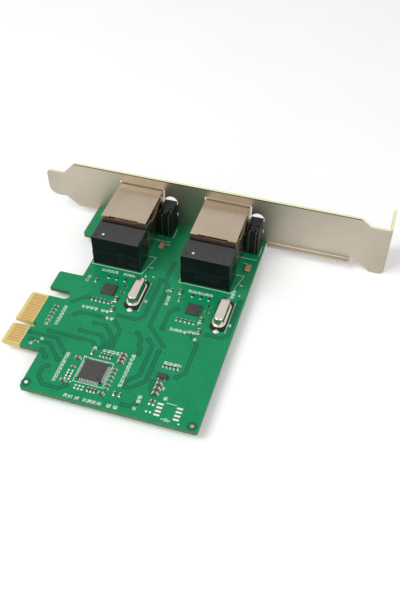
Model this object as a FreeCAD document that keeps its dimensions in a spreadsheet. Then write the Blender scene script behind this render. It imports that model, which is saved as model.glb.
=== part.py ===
import FreeCAD, Part
import Sketcher
import os

# Two-port network interface card for a one-lane expansion slot.
# X runs along the bracket, from its tongue to its screw tab, and Y runs out through the bracket.
# +Z rises from the component side.  The origin is on the card edge, at the middle of its key
# notch and half way through the board.

SHEET_NAME = "Dims"

DIMENSIONS = (
    # circuit board
    ("board_thick", 1.57), ("edge_reach", 12.9), ("board_right", 66.3),
    ("board_rear", -22.8), ("board_front", 57.15), ("corner_radius", 0.8),
    ("key_half", 0.95), ("key_depth", 7.6),
    ("long_tab_end", 12.6), ("short_tab_end", -8.6),
    ("hook_near", 16.1), ("hook_far", 23.8), ("hook_left", 4.8),
    ("hook_slot_end", 12.5), ("ear_near", 43.1),
    ("edge_bevel_run", 1.3), ("edge_bevel_drop", 0.47),
    # gold edge contacts
    ("contact_start", 1.4), ("contact_end", 5.6), ("contact_wide", 0.7),
    ("contact_pitch", 1.0), ("contact_first", 1.5), ("contact_plate", 0.04),
    ("long_tab_count", 11), ("short_tab_count", 7),
    # bracket
    ("plate_thick", 0.86), ("plate_inner", 57.15),
    ("blade_top", 18.52), ("blade_low", 0.1), ("blade_start", -2.6),
    ("tongue_tip", -13.43), ("tongue_root", -6.9), ("tongue_top", 13.77), ("tongue_low", 3.58),
    ("tongue_top_radius", 1.5), ("tongue_low_radius", 3.4),
    ("shoulder_start", 96.4), ("shoulder_end", 99.6), ("neck_top", 15.9),
    ("fold_outer", 106.59), ("fold_radius", 1.8), ("fold_inner_radius", 0.94),
    ("flare_start", 98.7), ("flare_end", 101.9), ("flare_low", -3.17), ("flare_radius", 1.6),
    ("screw_tab_end", 70.1), ("screw_tab_radius", 3.0),
    ("screw_slot_z", 8.2), ("screw_slot_wide", 4.42), ("screw_slot_root", 67.6),
    ("lip_start", 66.9), ("lip_end", 94.8), ("lip_front", 55.6),
    ("lip_inner_radius", 0.4), ("lip_corner", 1.0),
    ("relief_end", 96.3), ("relief_top", 1.85), ("relief_radius", 0.5),
    ("window_wide", 16.4), ("window_low", 1.0), ("window_top", 15.3), ("window_radius", 0.6),
    ("lamp_hole_radius", 2.3), ("lamp_hole_low", 5.3), ("lamp_hole_high", 10.2),
    # port positions
    ("port_one", 22.1), ("port_two", 52.4), ("lamp_offset", 10.4),
    # jack shell
    ("shell_wide", 15.4), ("shell_rear", 39.1), ("shell_front", 58.7), ("shell_top", 14.7),
    ("shell_sheet", 0.3),
    ("shell_slot_wide", 9.9), ("shell_slot_drop", 0.65), ("shell_slot_in", 0.45),
    ("shell_face_wide", 12.9), ("shell_face_low", 1.4), ("shell_face_top", 12.5),
    ("shell_peg_y", 48.6), ("shell_peg_wide", 1.6), ("shell_peg_low", -2.2),
    ("seam_gap", 0.2), ("seam_y", 43.0), ("seam_low", 2.2), ("seam_drop", 3.0),
    ("cut_front_y", 56.65), ("cut_knee_y", 53.85), ("cut_knee_drop", 0.4),
    ("cut_mid_y", 49.9), ("cut_mid_drop", 1.6), ("cut_deep_y", 47.5), ("cut_deep_drop", 3.1),
    ("cut_seam_drop", 3.3), ("cut_back_y", 41.8), ("cut_back_drop", 2.6),
    ("peg_way", 0.96), ("sill_start", 56.8), ("sill_clear", 0.1),
    ("bump_near", 55.6), ("bump_crest_near", 57.2), ("bump_crest_far", 57.7),
    ("bump_far", 58.2), ("bump_low", 4.0), ("bump_tall", 5.0),
    # jack insert
    ("insert_front", 58.3), ("insert_back", 46.14),
    ("insert_shelf_back", 39.8), ("insert_shelf_lift", 1.2), ("insert_shelf_tall", 11.215),
    ("plug_wide", 11.8), ("plug_low", 4.3), ("plug_top", 11.4),
    ("latch_wide", 6.3), ("latch_low", 2.7), ("catch_wide", 3.6), ("catch_low", 1.8),
    ("plug_rear", 43.8), ("post_radius", 1.55), ("post_y", 51.5), ("post_spread", 5.715),
    ("post_low", -2.7), ("post_clear", 0.08),
    # jack contacts
    ("spring_pitch", 1.016), ("spring_wide", 0.46), ("spring_gauge", 0.3), ("spring_count", 8),
    ("spring_nose", 56.6), ("spring_toe_y", 48.4), ("spring_toe_z", 7.7),
    ("spring_bend", 0.3), ("spring_bend_drop", 0.35), ("spring_heel", 0.9), ("spring_toe", 0.1),
    ("tail_size", 0.5), ("tail_low", -2.4),
    ("jack_tail_start", 3.556), ("jack_tail_pitch", 2.032), ("jack_tail_y", 42.6), ("jack_tail_row", 2.54),
    # line transformers
    ("coil_wide", 16.3), ("coil_near", 30.67), ("coil_far", 38.93), ("coil_top", 12.47),
    ("coil_seam", 6.65), ("coil_step", 0.08), ("coil_edge", 0.25), ("coil_stand", 0.3),
    ("coil_tail_pitch", 1.27), ("coil_tail_count", 12), ("coil_tail_row", 2.9),
    ("coil_foot", 0.9), ("dimple_radius", 0.3), ("dimple_in", 1.5), ("dimple_deep", 0.3),
    # lamp holders
    ("holder_wide", 4.2), ("holder_near", 50.0), ("holder_far", 57.15), ("holder_top", 11.0),
    ("holder_groove", 0.85), ("holder_groove_deep", 2.85), ("holder_groove_spread", 1.15),
    ("lamp_radius", 1.4), ("lamp_low", 5.1), ("lamp_high", 9.4), ("lamp_deep", 4.3),
    ("lamp_nose", 0.45),
    ("lamp_lead", 0.45), ("lamp_lead_near", 50.35), ("lamp_lead_step", 1.25),
    # timing crystals
    ("crystal_one_x", 32.8), ("crystal_one_y", 20.8), ("crystal_two_x", 61.1),
    ("crystal_two_y", 20.1),
    ("crystal_pad_long", 12.2), ("crystal_pad_wide", 4.7), ("crystal_pad_tall", 0.7),
    ("crystal_rim_long", 11.2), ("crystal_rim_wide", 4.35), ("crystal_rim_tall", 0.35),
    ("crystal_can_long", 10.4), ("crystal_can_wide", 3.1), ("crystal_can_tall", 2.75),
    ("crystal_can_edge", 0.4), ("crystal_pad_corner", 0.9),
    ("crystal_foot_wide", 1.5), ("crystal_foot_out", 1.3), ("crystal_foot_thick", 0.3),
    ("crystal_foot_in", 1.1), ("crystal_foot_way", 1.2), ("crystal_foot_clear", 0.05),
    # chips
    ("control_size", 4.3), ("control_gap", 0.02), ("control_tall", 0.83), ("control_edge", 0.12),
    ("control_one_x", 23.5), ("control_one_y", 20.4),
    ("control_two_x", 51.95), ("control_two_y", 19.9),
    ("control_pad_pitch", 0.5), ("control_pad_wide", 0.24), ("control_pad_out", 0.12),
    ("control_pad_count", 7), ("control_pad_tall", 0.18),
    ("bridge_size", 6.9), ("bridge_tall", 1.0), ("bridge_gap", 0.1),
    ("bridge_x", 31.4), ("bridge_y", -11.8), ("bridge_edge", 0.15),
    ("bridge_lead_pitch", 0.5), ("bridge_lead_wide", 0.22), ("bridge_lead_count", 12),
    ("bridge_lead_reach", 0.95), ("bridge_lead_foot", 0.5), ("bridge_lead_gauge", 0.12),
    ("supply_x", 51.2), ("supply_y", -7.7), ("supply_long", 2.9), ("supply_wide", 1.6),
    ("supply_tall", 1.1), ("supply_gap", 0.08), ("supply_edge", 0.12),
    ("supply_lead_pitch", 0.95), ("supply_lead_wide", 0.4), ("supply_lead_reach", 0.6),
    ("supply_lead_foot", 0.35), ("supply_lead_gauge", 0.15), ("supply_lead_count", 3),
    # ceramic capacitors at the ports
    ("surge_one_x", 33.1), ("surge_one_y", 44.2), ("surge_two_x", 63.7), ("surge_two_y", 42.3),
    ("surge_long", 3.2), ("surge_wide", 1.6), ("surge_tall", 1.1), ("surge_end", 0.45),
    # small chip components
    ("resistor_long", 1.0), ("resistor_wide", 0.5), ("resistor_tall", 0.35), ("resistor_end", 0.22),
    ("chip_long", 1.0), ("chip_wide", 0.5), ("chip_tall", 0.5), ("chip_end", 0.25),
    ("block_long", 1.6), ("block_wide", 0.8), ("block_tall", 0.8), ("block_end", 0.36),
)

# Rows of small chip components: name, kind, first place in X and Y, pitch, count, the way the
# row runs and the way each component lies.
CHIP_ROWS = (
    ("edge_filter", "chip", 10.2, 2.7, 1.6, 3, "Y", "X"),
    ("edge_bias", "resistor", 10.2, 7.4, 1.6, 2, "Y", "X"),
    ("edge_single", "chip", 10.5, -6.1, 1.6, 1, "Y", "X"),
    ("bridge_north", "resistor", 31.0, -5.2, 1.05, 4, "X", "Y"),
    ("bridge_north_single", "chip", 28.2, -5.0, 1.0, 1, "X", "Y"),
    ("bridge_corner", "block", 37.6, -6.2, 1.4, 3, "Y", "X"),
    ("bridge_east", "chip", 37.1, -16.4, 1.45, 6, "Y", "X"),
    ("bridge_west", "block", 25.1, -8.3, 1.0, 1, "Y", "X"),
    ("bridge_west_low", "chip", 25.0, -11.7, 1.0, 1, "Y", "X"),
    ("bridge_far_west", "block", 24.2, -17.2, 1.0, 1, "Y", "X"),
    ("bridge_south", "resistor", 32.2, -18.0, 1.05, 3, "X", "Y"),
    ("bridge_south_end", "block", 36.4, -18.4, 1.0, 1, "X", "X"),
    ("bridge_tail", "chip", 39.9, -17.1, 1.7, 2, "X", "Y"),
    ("supply_north", "resistor", 50.1, -3.5, 1.1, 4, "X", "Y"),
    ("supply_north_end", "chip", 54.6, -3.3, 1.0, 1, "X", "Y"),
    ("supply_south", "block", 51.1, -13.9, 1.75, 3, "Y", "X"),
    ("supply_low", "resistor", 51.3, -16.3, 1.0, 1, "X", "X"),
    ("port_one_north", "resistor", 21.3, 25.9, 2.75, 3, "X", "Y"),
    ("port_one_south", "resistor", 19.8, 15.3, 1.4, 5, "X", "Y"),
    ("port_one_east", "resistor", 27.9, 20.7, 2.6, 2, "Y", "X"),
    ("port_one_west", "chip", 17.8, 23.2, 1.0, 1, "X", "Y"),
    ("port_one_corner", "block", 27.1, 17.1, 1.0, 1, "X", "Y"),
    ("port_one_tail", "block", 27.5, 12.9, 1.0, 1, "X", "Y"),
    ("port_two_north", "resistor", 49.8, 25.7, 2.75, 3, "X", "Y"),
    ("port_two_south", "resistor", 48.1, 14.8, 1.4, 5, "X", "Y"),
    ("port_two_east", "resistor", 56.2, 20.2, 2.6, 2, "Y", "X"),
    ("port_two_west", "chip", 46.3, 22.9, 1.0, 1, "X", "Y"),
    ("port_two_left", "resistor", 42.6, 26.1, 1.0, 1, "X", "Y"),
    ("port_two_top", "block", 45.7, 26.1, 1.0, 1, "X", "Y"),
    ("port_two_corner", "block", 55.4, 16.4, 1.0, 1, "X", "Y"),
    ("port_two_tail", "block", 56.1, 11.9, 1.0, 1, "X", "Y"),
)

doc = FreeCAD.newDocument("network_card")
sheet = doc.addObject("Spreadsheet::Sheet", SHEET_NAME)
chip_places = []
for name, _, first_x, first_y, pitch, count, _, _ in CHIP_ROWS:
    chip_places += [(name + "_x", first_x), (name + "_y", first_y)]
    chip_places += [(name + "_pitch", pitch), (name + "_count", count)]
for row, (alias, number) in enumerate(DIMENSIONS + tuple(chip_places), start=1):
    sheet.set("A%d" % row, alias)
    sheet.set("B%d" % row, str(number))
    sheet.setAlias("B%d" % row, alias)
doc.recompute()

X_AXIS, Y_AXIS, Z_AXIS = 0, 1, 2
TOLERANCE = 1e-4
BOARD_TOP = "Dims.board_thick / 2"
BOARD_UNDER = "-Dims.board_thick / 2"
PLATE_OUTER = "Dims.plate_inner + Dims.plate_thick"

sub_parts = []


def amount(expression):
    """Value of a sheet expression, in millimetres."""
    result = sheet.evalExpression(expression)
    return float(getattr(result, "Value", result))


def finish(piece, label):
    """Name a finished sub-part and list it for export."""
    piece.Label = label
    sub_parts.append(piece)
    return piece


def place(piece, base_x="0", base_y="0", base_z="0"):
    """Bind a piece's position to the sheet."""
    piece.setExpression("Placement.Base.x", base_x)
    piece.setExpression("Placement.Base.y", base_y)
    piece.setExpression("Placement.Base.z", base_z)
    return piece


def new_body(name, base_x="0", base_y="0", base_z="0"):
    """An empty body, set in its place."""
    return place(doc.addObject("PartDesign::Body", name), base_x, base_y, base_z)


def origin_plane(body, role):
    """One of a body's own origin planes."""
    return next(item for item in body.Origin.OriginFeatures if item.Role == role)


def origin_axis(body, role):
    """One of a body's own origin axes, as a pattern direction."""
    return (origin_plane(body, role), [""])


def new_sketch(body, name, role, offset="0"):
    """A sketch on an origin plane of its body, moved off it by the offset."""
    sketch = body.newObject("Sketcher::SketchObject", name)
    sketch.AttachmentSupport = (origin_plane(body, role), [""])
    sketch.MapMode = "FlatFace"
    sketch.setExpression(".AttachmentOffset.Base.z", offset)
    return sketch


def pin_point(sketch, geometry, point, across, along):
    """Fix one point of a sketch by two sheet expressions."""
    for kind, expression in (("DistanceX", across), ("DistanceY", along)):
        constraint = Sketcher.Constraint(kind, -1, 1, geometry, point, amount(expression))
        index = sketch.addConstraint(constraint)
        sketch.setExpression("Constraints[%d]" % index, expression)


def draw_outline(sketch, corners):
    """A closed outline of straight lines through corners given by sheet expressions."""
    points = [FreeCAD.Vector(amount(across), amount(along), 0) for across, along in corners]
    first = sketch.GeometryCount
    for index, start in enumerate(points):
        end = points[(index + 1) % len(points)]
        sketch.addGeometry(Part.LineSegment(start, end), False)
    for index, (across, along) in enumerate(corners):
        following = first + (index + 1) % len(corners)
        sketch.addConstraint(Sketcher.Constraint("Coincident", first + index, 2, following, 1))
        pin_point(sketch, first + index, 1, across, along)
    return sketch


def draw_box(sketch, left, right, low, high):
    """A rectangle between four sheet expressions."""
    return draw_outline(sketch, [(left, low), (right, low), (right, high), (left, high)])


def draw_square(sketch, across, along, size):
    """A square about a middle given by sheet expressions."""
    half = " / 2"
    return draw_box(sketch, across + " - " + size + half, across + " + " + size + half,
                    along + " - " + size + half, along + " + " + size + half)


def draw_circle(sketch, across, along, radius):
    """A circle with its centre and radius given by sheet expressions."""
    centre = FreeCAD.Vector(amount(across), amount(along), 0)
    normal = FreeCAD.Vector(0, 0, 1)
    geometry = sketch.addGeometry(Part.Circle(centre, normal, amount(radius)), False)
    pin_point(sketch, geometry, 3, across, along)
    index = sketch.addConstraint(Sketcher.Constraint("Radius", geometry, amount(radius)))
    sketch.setExpression("Constraints[%d]" % index, radius)
    return sketch


def add_pad(body, sketch, length, reverse=False, middle=False):
    """Pad a sketch by a sheet expression."""
    pad = body.newObject("PartDesign::Pad", sketch.Name + "_pad")
    pad.Profile = sketch
    pad.setExpression("Length", length)
    pad.Reversed = reverse
    pad.SideType = "Symmetric" if middle else "One side"
    return pad


def cut_pocket(body, sketch, length, reverse=False, middle=False):
    """Pocket a sketch by a sheet expression and make sure that it cuts."""
    doc.recompute()
    before = body.Tip.Shape.Volume
    pocket = body.newObject("PartDesign::Pocket", sketch.Name + "_pocket")
    pocket.Profile = sketch
    pocket.setExpression("Length", length)
    pocket.Reversed = reverse
    pocket.SideType = "Symmetric" if middle else "One side"
    doc.recompute()
    if pocket.Shape.Volume > before - TOLERANCE:
        raise RuntimeError(pocket.Name + " cuts nothing")
    return pocket


def repeat(body, feature, role, pitch, count, reverse=False):
    """A linear pattern of one feature along an origin axis."""
    pattern = body.newObject("PartDesign::LinearPattern", feature.Name + "_row")
    pattern.Originals = [feature]
    pattern.Direction = origin_axis(body, role)
    pattern.Reversed = reverse
    pattern.Mode = "Spacing"
    pattern.setExpression("Offset", pitch)
    pattern.setExpression("Occurrences", count)
    body.Tip = pattern
    return pattern


def edges_through(shape, axis, spots):
    """Names of the edges parallel to an axis that pass through the given plane spots."""
    plane = [direction for direction in (X_AXIS, Y_AXIS, Z_AXIS) if direction != axis]
    names = []
    for number, edge in enumerate(shape.Edges, start=1):
        ends = [vertex.Point for vertex in edge.Vertexes]
        if len(ends) != 2 or not isinstance(edge.Curve, Part.Line):
            continue
        if any(abs(ends[0][direction] - ends[1][direction]) > TOLERANCE for direction in plane):
            continue
        for spot in spots:
            gap = max(abs(ends[0][direction] - level) for direction, level in zip(plane, spot))
            if gap < 10 * TOLERANCE:
                names.append("Edge%d" % number)
    return names


def round_edges(body, radius, axis, spots):
    """Fillet the edges of a body that are parallel to an axis and pass through the spots."""
    doc.recompute()
    base = body.Tip
    levels = [tuple(amount(expression) for expression in spot) for spot in spots]
    names = edges_through(base.Shape, axis, levels)
    if not names:
        raise RuntimeError(base.Name + " has no edge to round")
    fillet = body.newObject("PartDesign::Fillet", base.Name + "_round")
    fillet.Base = (base, names)
    fillet.setExpression("Radius", radius)
    return fillet


def soften_face(body, size, axis, level):
    """Chamfer every edge that lies in the plane across an axis at a level."""
    doc.recompute()
    base = body.Tip
    place_level = amount(level)
    names = []
    for number, edge in enumerate(base.Shape.Edges, start=1):
        box = edge.BoundBox
        low = (box.XMin, box.YMin, box.ZMin)[axis]
        high = (box.XMax, box.YMax, box.ZMax)[axis]
        if abs(low - place_level) < TOLERANCE and abs(high - place_level) < TOLERANCE:
            names.append("Edge%d" % number)
    chamfer = body.newObject("PartDesign::Chamfer", base.Name + "_bevel")
    chamfer.Base = (base, names)
    chamfer.setExpression("Size", size)
    return chamfer


def oblong(sketch, long, wide):
    """A round-ended outline about the origin, long side along Y, from two sheet expressions."""
    radius = amount(wide) / 2
    reach = amount(long) / 2 - radius
    up = FreeCAD.Vector(0, reach, 0)
    down = FreeCAD.Vector(0, -reach, 0)
    side = FreeCAD.Vector(radius, 0, 0)
    crown = FreeCAD.Vector(0, radius, 0)
    sketch.addGeometry(Part.LineSegment(down + side, up + side), False)
    sketch.addGeometry(Part.Arc(up + side, up + crown, up - side), False)
    sketch.addGeometry(Part.LineSegment(up - side, down - side), False)
    sketch.addGeometry(Part.Arc(down - side, down - crown, down + side), False)
    return sketch


# ---- circuit board: one rigid laminate sheet, routed to outline and drilled ----

def board_key(body):
    """Key notch between the two groups of edge contacts."""
    sketch = new_sketch(body, "key_notch", "XY_Plane")
    draw_box(sketch, "-1", "Dims.key_depth - Dims.key_half", "-Dims.key_half", "Dims.key_half")
    cut_pocket(body, sketch, "Dims.board_thick * 2", middle=True)
    sketch = new_sketch(body, "key_round", "XY_Plane")
    draw_circle(sketch, "Dims.key_depth - Dims.key_half", "0", "Dims.key_half")
    cut_pocket(body, sketch, "Dims.board_thick * 2", middle=True)


def board_hook_slot(body):
    """Slot between the long contact tab and the retention hook."""
    radius = "(Dims.hook_near - Dims.long_tab_end) / 2"
    middle = "(Dims.hook_near + Dims.long_tab_end) / 2"
    sketch = new_sketch(body, "hook_slot", "XY_Plane")
    slot_root = "Dims.hook_slot_end - " + radius
    draw_box(sketch, "-1", slot_root, "Dims.long_tab_end", "Dims.hook_near")
    cut_pocket(body, sketch, "Dims.board_thick * 2", middle=True)
    sketch = new_sketch(body, "hook_slot_round", "XY_Plane")
    draw_circle(sketch, slot_root, middle, radius)
    cut_pocket(body, sketch, "Dims.board_thick * 2", middle=True)


def board_edge_bevel(body):
    """Lead-in bevel along both faces of the card edge."""
    sketch = new_sketch(body, "edge_bevel", "XZ_Plane")
    low = "Dims.board_thick / 2 - Dims.edge_bevel_drop"
    for sign in ("", "-1 * "):
        draw_outline(sketch, [
            ("0", sign + "(" + low + ")"), ("Dims.edge_bevel_run", sign + "Dims.board_thick / 2"),
            ("-1", sign + "Dims.board_thick"), ("-1", sign + "(" + low + ")")])
    span = "(Dims.long_tab_end - Dims.short_tab_end) * 2"
    cut_pocket(body, sketch, span, middle=True)


def board_drilling(body, port):
    """Drilled holes under one port: jack posts and tails, transformer tails and lamp leads."""
    tag = port.split("_")[-1]
    sketch = new_sketch(body, "post_holes_" + tag, "XY_Plane")
    post = "Dims.post_radius + Dims.post_clear"
    draw_circle(sketch, port + " - Dims.post_spread", "Dims.post_y", post)
    draw_circle(sketch, port + " + Dims.post_spread", "Dims.post_y", post)
    side = "(Dims.shell_wide / 2 - Dims.shell_sheet / 2)"
    for sign in (" - ", " + "):
        middle = port + sign + side
        draw_box(sketch, middle + " - Dims.shell_sheet", middle + " + Dims.shell_sheet",
                 "Dims.shell_peg_y - Dims.peg_way", "Dims.shell_peg_y + Dims.peg_way")
    cut_pocket(body, sketch, "Dims.board_thick * 2", middle=True)


def tail_drilling(body, tag, start_x, start_y, pitch, count):
    """One straight row of plated holes along X, each filled by its tail."""
    sketch = new_sketch(body, "tail_holes_" + tag, "XY_Plane")
    draw_square(sketch, start_x, start_y, "Dims.tail_size")
    pocket = cut_pocket(body, sketch, "Dims.board_thick * 2", middle=True)
    repeat(body, pocket, "X_Axis", pitch, count)


def tail_rows(port):
    """Start, level, pitch and count of every row of soldered tails under one port."""
    coil_start = port + " - Dims.coil_tail_pitch * (Dims.coil_tail_count - 1) / 2"
    coil_middle = "(Dims.coil_near + Dims.coil_far) / 2"
    jack_start = port + " - Dims.jack_tail_start"
    return (
        ("coil_near", coil_start, coil_middle + " - Dims.coil_tail_row",
         "Dims.coil_tail_pitch", "Dims.coil_tail_count"),
        ("coil_far", coil_start, coil_middle + " + Dims.coil_tail_row",
         "Dims.coil_tail_pitch", "Dims.coil_tail_count"),
        ("jack_near", jack_start, "Dims.jack_tail_y", "Dims.jack_tail_pitch",
         "Dims.spring_count / 2"),
        ("jack_far", jack_start + " + Dims.jack_tail_pitch / 2",
         "Dims.jack_tail_y + Dims.jack_tail_row", "Dims.jack_tail_pitch",
         "Dims.spring_count / 2"),
    )


def lamp_lead_spots(port):
    """Place and lamp level of the four leads beside one port, two in each groove."""
    middle = port + " + Dims.lamp_offset"
    inner = "Dims.lamp_lead_near + Dims.lamp_lead_step"
    spots = []
    for side in (" - ", " + "):
        across = middle + side + "Dims.holder_groove_spread"
        spots.append((across, "Dims.lamp_lead_near", "Dims.lamp_high"))
        spots.append((across, inner, "Dims.lamp_low"))
    return spots


def make_board():
    """Routed board outline with its contact tabs, hook, ear, notches, bevels and holes."""
    body = new_body("CircuitBoard")
    sketch = new_sketch(body, "board_outline", "XY_Plane")
    draw_outline(sketch, [
        ("0", "Dims.short_tab_end"), ("Dims.edge_reach", "Dims.short_tab_end"),
        ("Dims.edge_reach", "Dims.board_rear"), ("Dims.board_right", "Dims.board_rear"),
        ("Dims.board_right", "Dims.board_front"), ("Dims.hook_left", "Dims.board_front"),
        ("Dims.hook_left", "Dims.ear_near"), ("Dims.edge_reach", "Dims.ear_near"),
        ("Dims.edge_reach", "Dims.hook_far"), ("Dims.hook_left", "Dims.hook_far"),
        ("Dims.hook_left", "Dims.hook_near"), ("0", "Dims.long_tab_end")])
    add_pad(body, sketch, "Dims.board_thick", middle=True)
    round_edges(body, "Dims.corner_radius", Z_AXIS, [
        ("Dims.edge_reach", "Dims.short_tab_end"), ("Dims.edge_reach", "Dims.board_rear"),
        ("Dims.board_right", "Dims.board_rear"), ("Dims.hook_left", "Dims.ear_near"),
        ("Dims.edge_reach", "Dims.ear_near"), ("Dims.edge_reach", "Dims.hook_far"),
        ("Dims.hook_left", "Dims.hook_far")])
    board_key(body)
    board_hook_slot(body)
    board_edge_bevel(body)
    for port in ("Dims.port_one", "Dims.port_two"):
        board_drilling(body, port)
        tag = port.split("_")[-1]
        for name, start_x, start_y, pitch, count in tail_rows(port):
            tail_drilling(body, name + "_" + tag, start_x, start_y, pitch, count)
        sketch = new_sketch(body, "lead_holes_" + tag, "XY_Plane")
        for across, along, _ in lamp_lead_spots(port):
            draw_square(sketch, across, along, "Dims.lamp_lead")
        cut_pocket(body, sketch, "Dims.board_thick * 2", middle=True)
    return finish(body, "circuit_board")


# ---- gold edge contacts: plated strips on both faces of the two tabs ----

def make_edge_contacts(label, reverse):
    """One face's contacts: eleven on the long tab and seven on the short one."""
    body = new_body(label.title().replace("_", ""))
    level = BOARD_UNDER if reverse else BOARD_TOP
    for tag, first, count, backwards in (
            ("long", "Dims.contact_first", "Dims.long_tab_count", False),
            ("short", "-Dims.contact_first", "Dims.short_tab_count", True)):
        sketch = new_sketch(body, tag + "_contact", "XY_Plane", level)
        draw_box(sketch, "Dims.contact_start", "Dims.contact_end",
                 first + " - Dims.contact_wide / 2", first + " + Dims.contact_wide / 2")
        pad = add_pad(body, sketch, "Dims.contact_plate", reverse=reverse)
        doc.recompute()
        repeat(body, pad, "Y_Axis", "Dims.contact_pitch", count, backwards)
    return finish(body, label)



# ---- bracket: one sheet of nickel-plated steel, blanked, pierced and folded ----

def bracket_blade(body):
    """Blade outline with tongue, shoulders, relief notch and the flare at the screw tab."""
    sketch = new_sketch(body, "blade", "XZ_Plane", "-Dims.plate_inner")
    lip_root = "Dims.blade_low + Dims.plate_thick + Dims.lip_inner_radius"
    draw_outline(sketch, [
        ("Dims.tongue_tip", "Dims.tongue_low"), ("Dims.tongue_root", "Dims.tongue_low"),
        ("Dims.blade_start", "Dims.blade_low"), ("Dims.lip_start", "Dims.blade_low"),
        ("Dims.lip_start", lip_root), ("Dims.lip_end", lip_root),
        ("Dims.lip_end", "Dims.relief_top"), ("Dims.relief_end", "Dims.relief_top"),
        ("Dims.relief_end", "Dims.blade_low"), ("Dims.flare_start", "Dims.blade_low"),
        ("Dims.flare_end", "Dims.flare_low"), ("Dims.fold_outer", "Dims.flare_low"),
        ("Dims.fold_outer", "Dims.neck_top"), ("Dims.shoulder_end", "Dims.neck_top"),
        ("Dims.shoulder_start", "Dims.blade_top"), ("Dims.blade_start", "Dims.blade_top"),
        ("Dims.tongue_root", "Dims.tongue_top"), ("Dims.tongue_tip", "Dims.tongue_top")])
    add_pad(body, sketch, "Dims.plate_thick", reverse=True)
    round_edges(body, "Dims.tongue_top_radius", Y_AXIS, [("Dims.tongue_tip", "Dims.tongue_top")])
    round_edges(body, "Dims.tongue_low_radius", Y_AXIS, [("Dims.tongue_tip", "Dims.tongue_low")])
    round_edges(body, "Dims.flare_radius", Y_AXIS, [
        ("Dims.flare_end", "Dims.flare_low"), ("Dims.shoulder_end", "Dims.neck_top"),
        ("Dims.shoulder_start", "Dims.blade_top"), ("Dims.blade_start", "Dims.blade_top"),
        ("Dims.blade_start", "Dims.blade_low")])
    round_edges(body, "Dims.relief_radius", Y_AXIS, [
        ("Dims.relief_end", "Dims.relief_top"), ("Dims.relief_end", "Dims.blade_low")])


def bracket_screw_tab(body):
    """Tab folded outward at the end of the blade, with its open screw slot."""
    sketch = new_sketch(body, "screw_tab", "YZ_Plane", "Dims.fold_outer")
    draw_box(sketch, "Dims.plate_inner", "Dims.screw_tab_end", "Dims.flare_low", "Dims.neck_top")
    add_pad(body, sketch, "Dims.plate_thick", reverse=True)
    round_edges(body, "Dims.screw_tab_radius", X_AXIS, [
        ("Dims.screw_tab_end", "Dims.flare_low"), ("Dims.screw_tab_end", "Dims.neck_top")])
    round_edges(body, "Dims.fold_radius", Z_AXIS, [("Dims.fold_outer", "Dims.plate_inner")])
    round_edges(body, "Dims.fold_inner_radius", Z_AXIS, [
        ("Dims.fold_outer - Dims.plate_thick", PLATE_OUTER)])
    sketch = new_sketch(body, "screw_slot", "YZ_Plane", "Dims.fold_outer + 1")
    draw_box(sketch, "Dims.screw_slot_root", "Dims.screw_tab_end + 1",
             "Dims.screw_slot_z - Dims.screw_slot_wide / 2",
             "Dims.screw_slot_z + Dims.screw_slot_wide / 2")
    cut_pocket(body, sketch, "Dims.plate_thick + 2")
    sketch = new_sketch(body, "screw_slot_round", "YZ_Plane", "Dims.fold_outer + 1")
    draw_circle(sketch, "Dims.screw_slot_root", "Dims.screw_slot_z", "Dims.screw_slot_wide / 2")
    cut_pocket(body, sketch, "Dims.plate_thick + 2")


def bracket_lip(body):
    """Stiffening lip folded inward along the lower edge, from its bend to its free edge."""
    sketch = new_sketch(body, "lip", "YZ_Plane", "Dims.lip_start")
    inner = amount("Dims.plate_inner")
    radius = amount("Dims.lip_inner_radius")
    thick = amount("Dims.plate_thick")
    low = amount("Dims.blade_low")
    centre = FreeCAD.Vector(inner - radius, low + thick + radius, 0)
    half = 0.5 ** 0.5
    slant = FreeCAD.Vector(half, -half, 0)
    right = FreeCAD.Vector(1, 0, 0)
    down = FreeCAD.Vector(0, -1, 0)
    outer = radius + thick
    free = amount("Dims.lip_front")
    sketch.addGeometry(Part.Arc(centre + right * radius, centre + slant * radius,
                                centre + down * radius), False)
    sketch.addGeometry(Part.LineSegment(centre + down * radius,
                                        FreeCAD.Vector(free, low + thick, 0)), False)
    sketch.addGeometry(Part.LineSegment(FreeCAD.Vector(free, low + thick, 0),
                                        FreeCAD.Vector(free, low, 0)), False)
    sketch.addGeometry(Part.LineSegment(FreeCAD.Vector(free, low, 0),
                                        centre + down * outer), False)
    sketch.addGeometry(Part.Arc(centre + down * outer, centre + slant * outer,
                                centre + right * outer), False)
    sketch.addGeometry(Part.LineSegment(centre + right * outer, centre + right * radius), False)
    add_pad(body, sketch, "Dims.lip_end - Dims.lip_start")
    round_edges(body, "Dims.lip_corner", Z_AXIS, [("Dims.lip_end", "Dims.lip_front")])


def bracket_openings(body):
    """Jack windows and round lamp holes, pierced through the blade."""
    for port in ("Dims.port_one", "Dims.port_two"):
        tag = port.split("_")[-1]
        sides = (port + " - Dims.window_wide / 2", port + " + Dims.window_wide / 2")
        sketch = new_sketch(body, "window_" + tag, "XZ_Plane", "-Dims.plate_inner + 1")
        draw_box(sketch, sides[0], sides[1], "Dims.window_low", "Dims.window_top")
        cut_pocket(body, sketch, "Dims.plate_thick + 2")
        round_edges(body, "Dims.window_radius", Y_AXIS, [
            (side, level) for side in sides for level in ("Dims.window_low", "Dims.window_top")])
        sketch = new_sketch(body, "lamp_holes_" + tag, "XZ_Plane", "-Dims.plate_inner + 1")
        for level in ("Dims.lamp_hole_low", "Dims.lamp_hole_high"):
            draw_circle(sketch, port + " + Dims.lamp_offset", level, "Dims.lamp_hole_radius")
        cut_pocket(body, sketch, "Dims.plate_thick + 2")


def make_bracket():
    """Full-height slot bracket."""
    body = new_body("Bracket")
    bracket_blade(body)
    bracket_lip(body)
    bracket_screw_tab(body)
    bracket_openings(body)
    return finish(body, "bracket")



# ---- modular jack: formed sheet shell round a moulded insert with eight spring contacts ----

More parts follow.
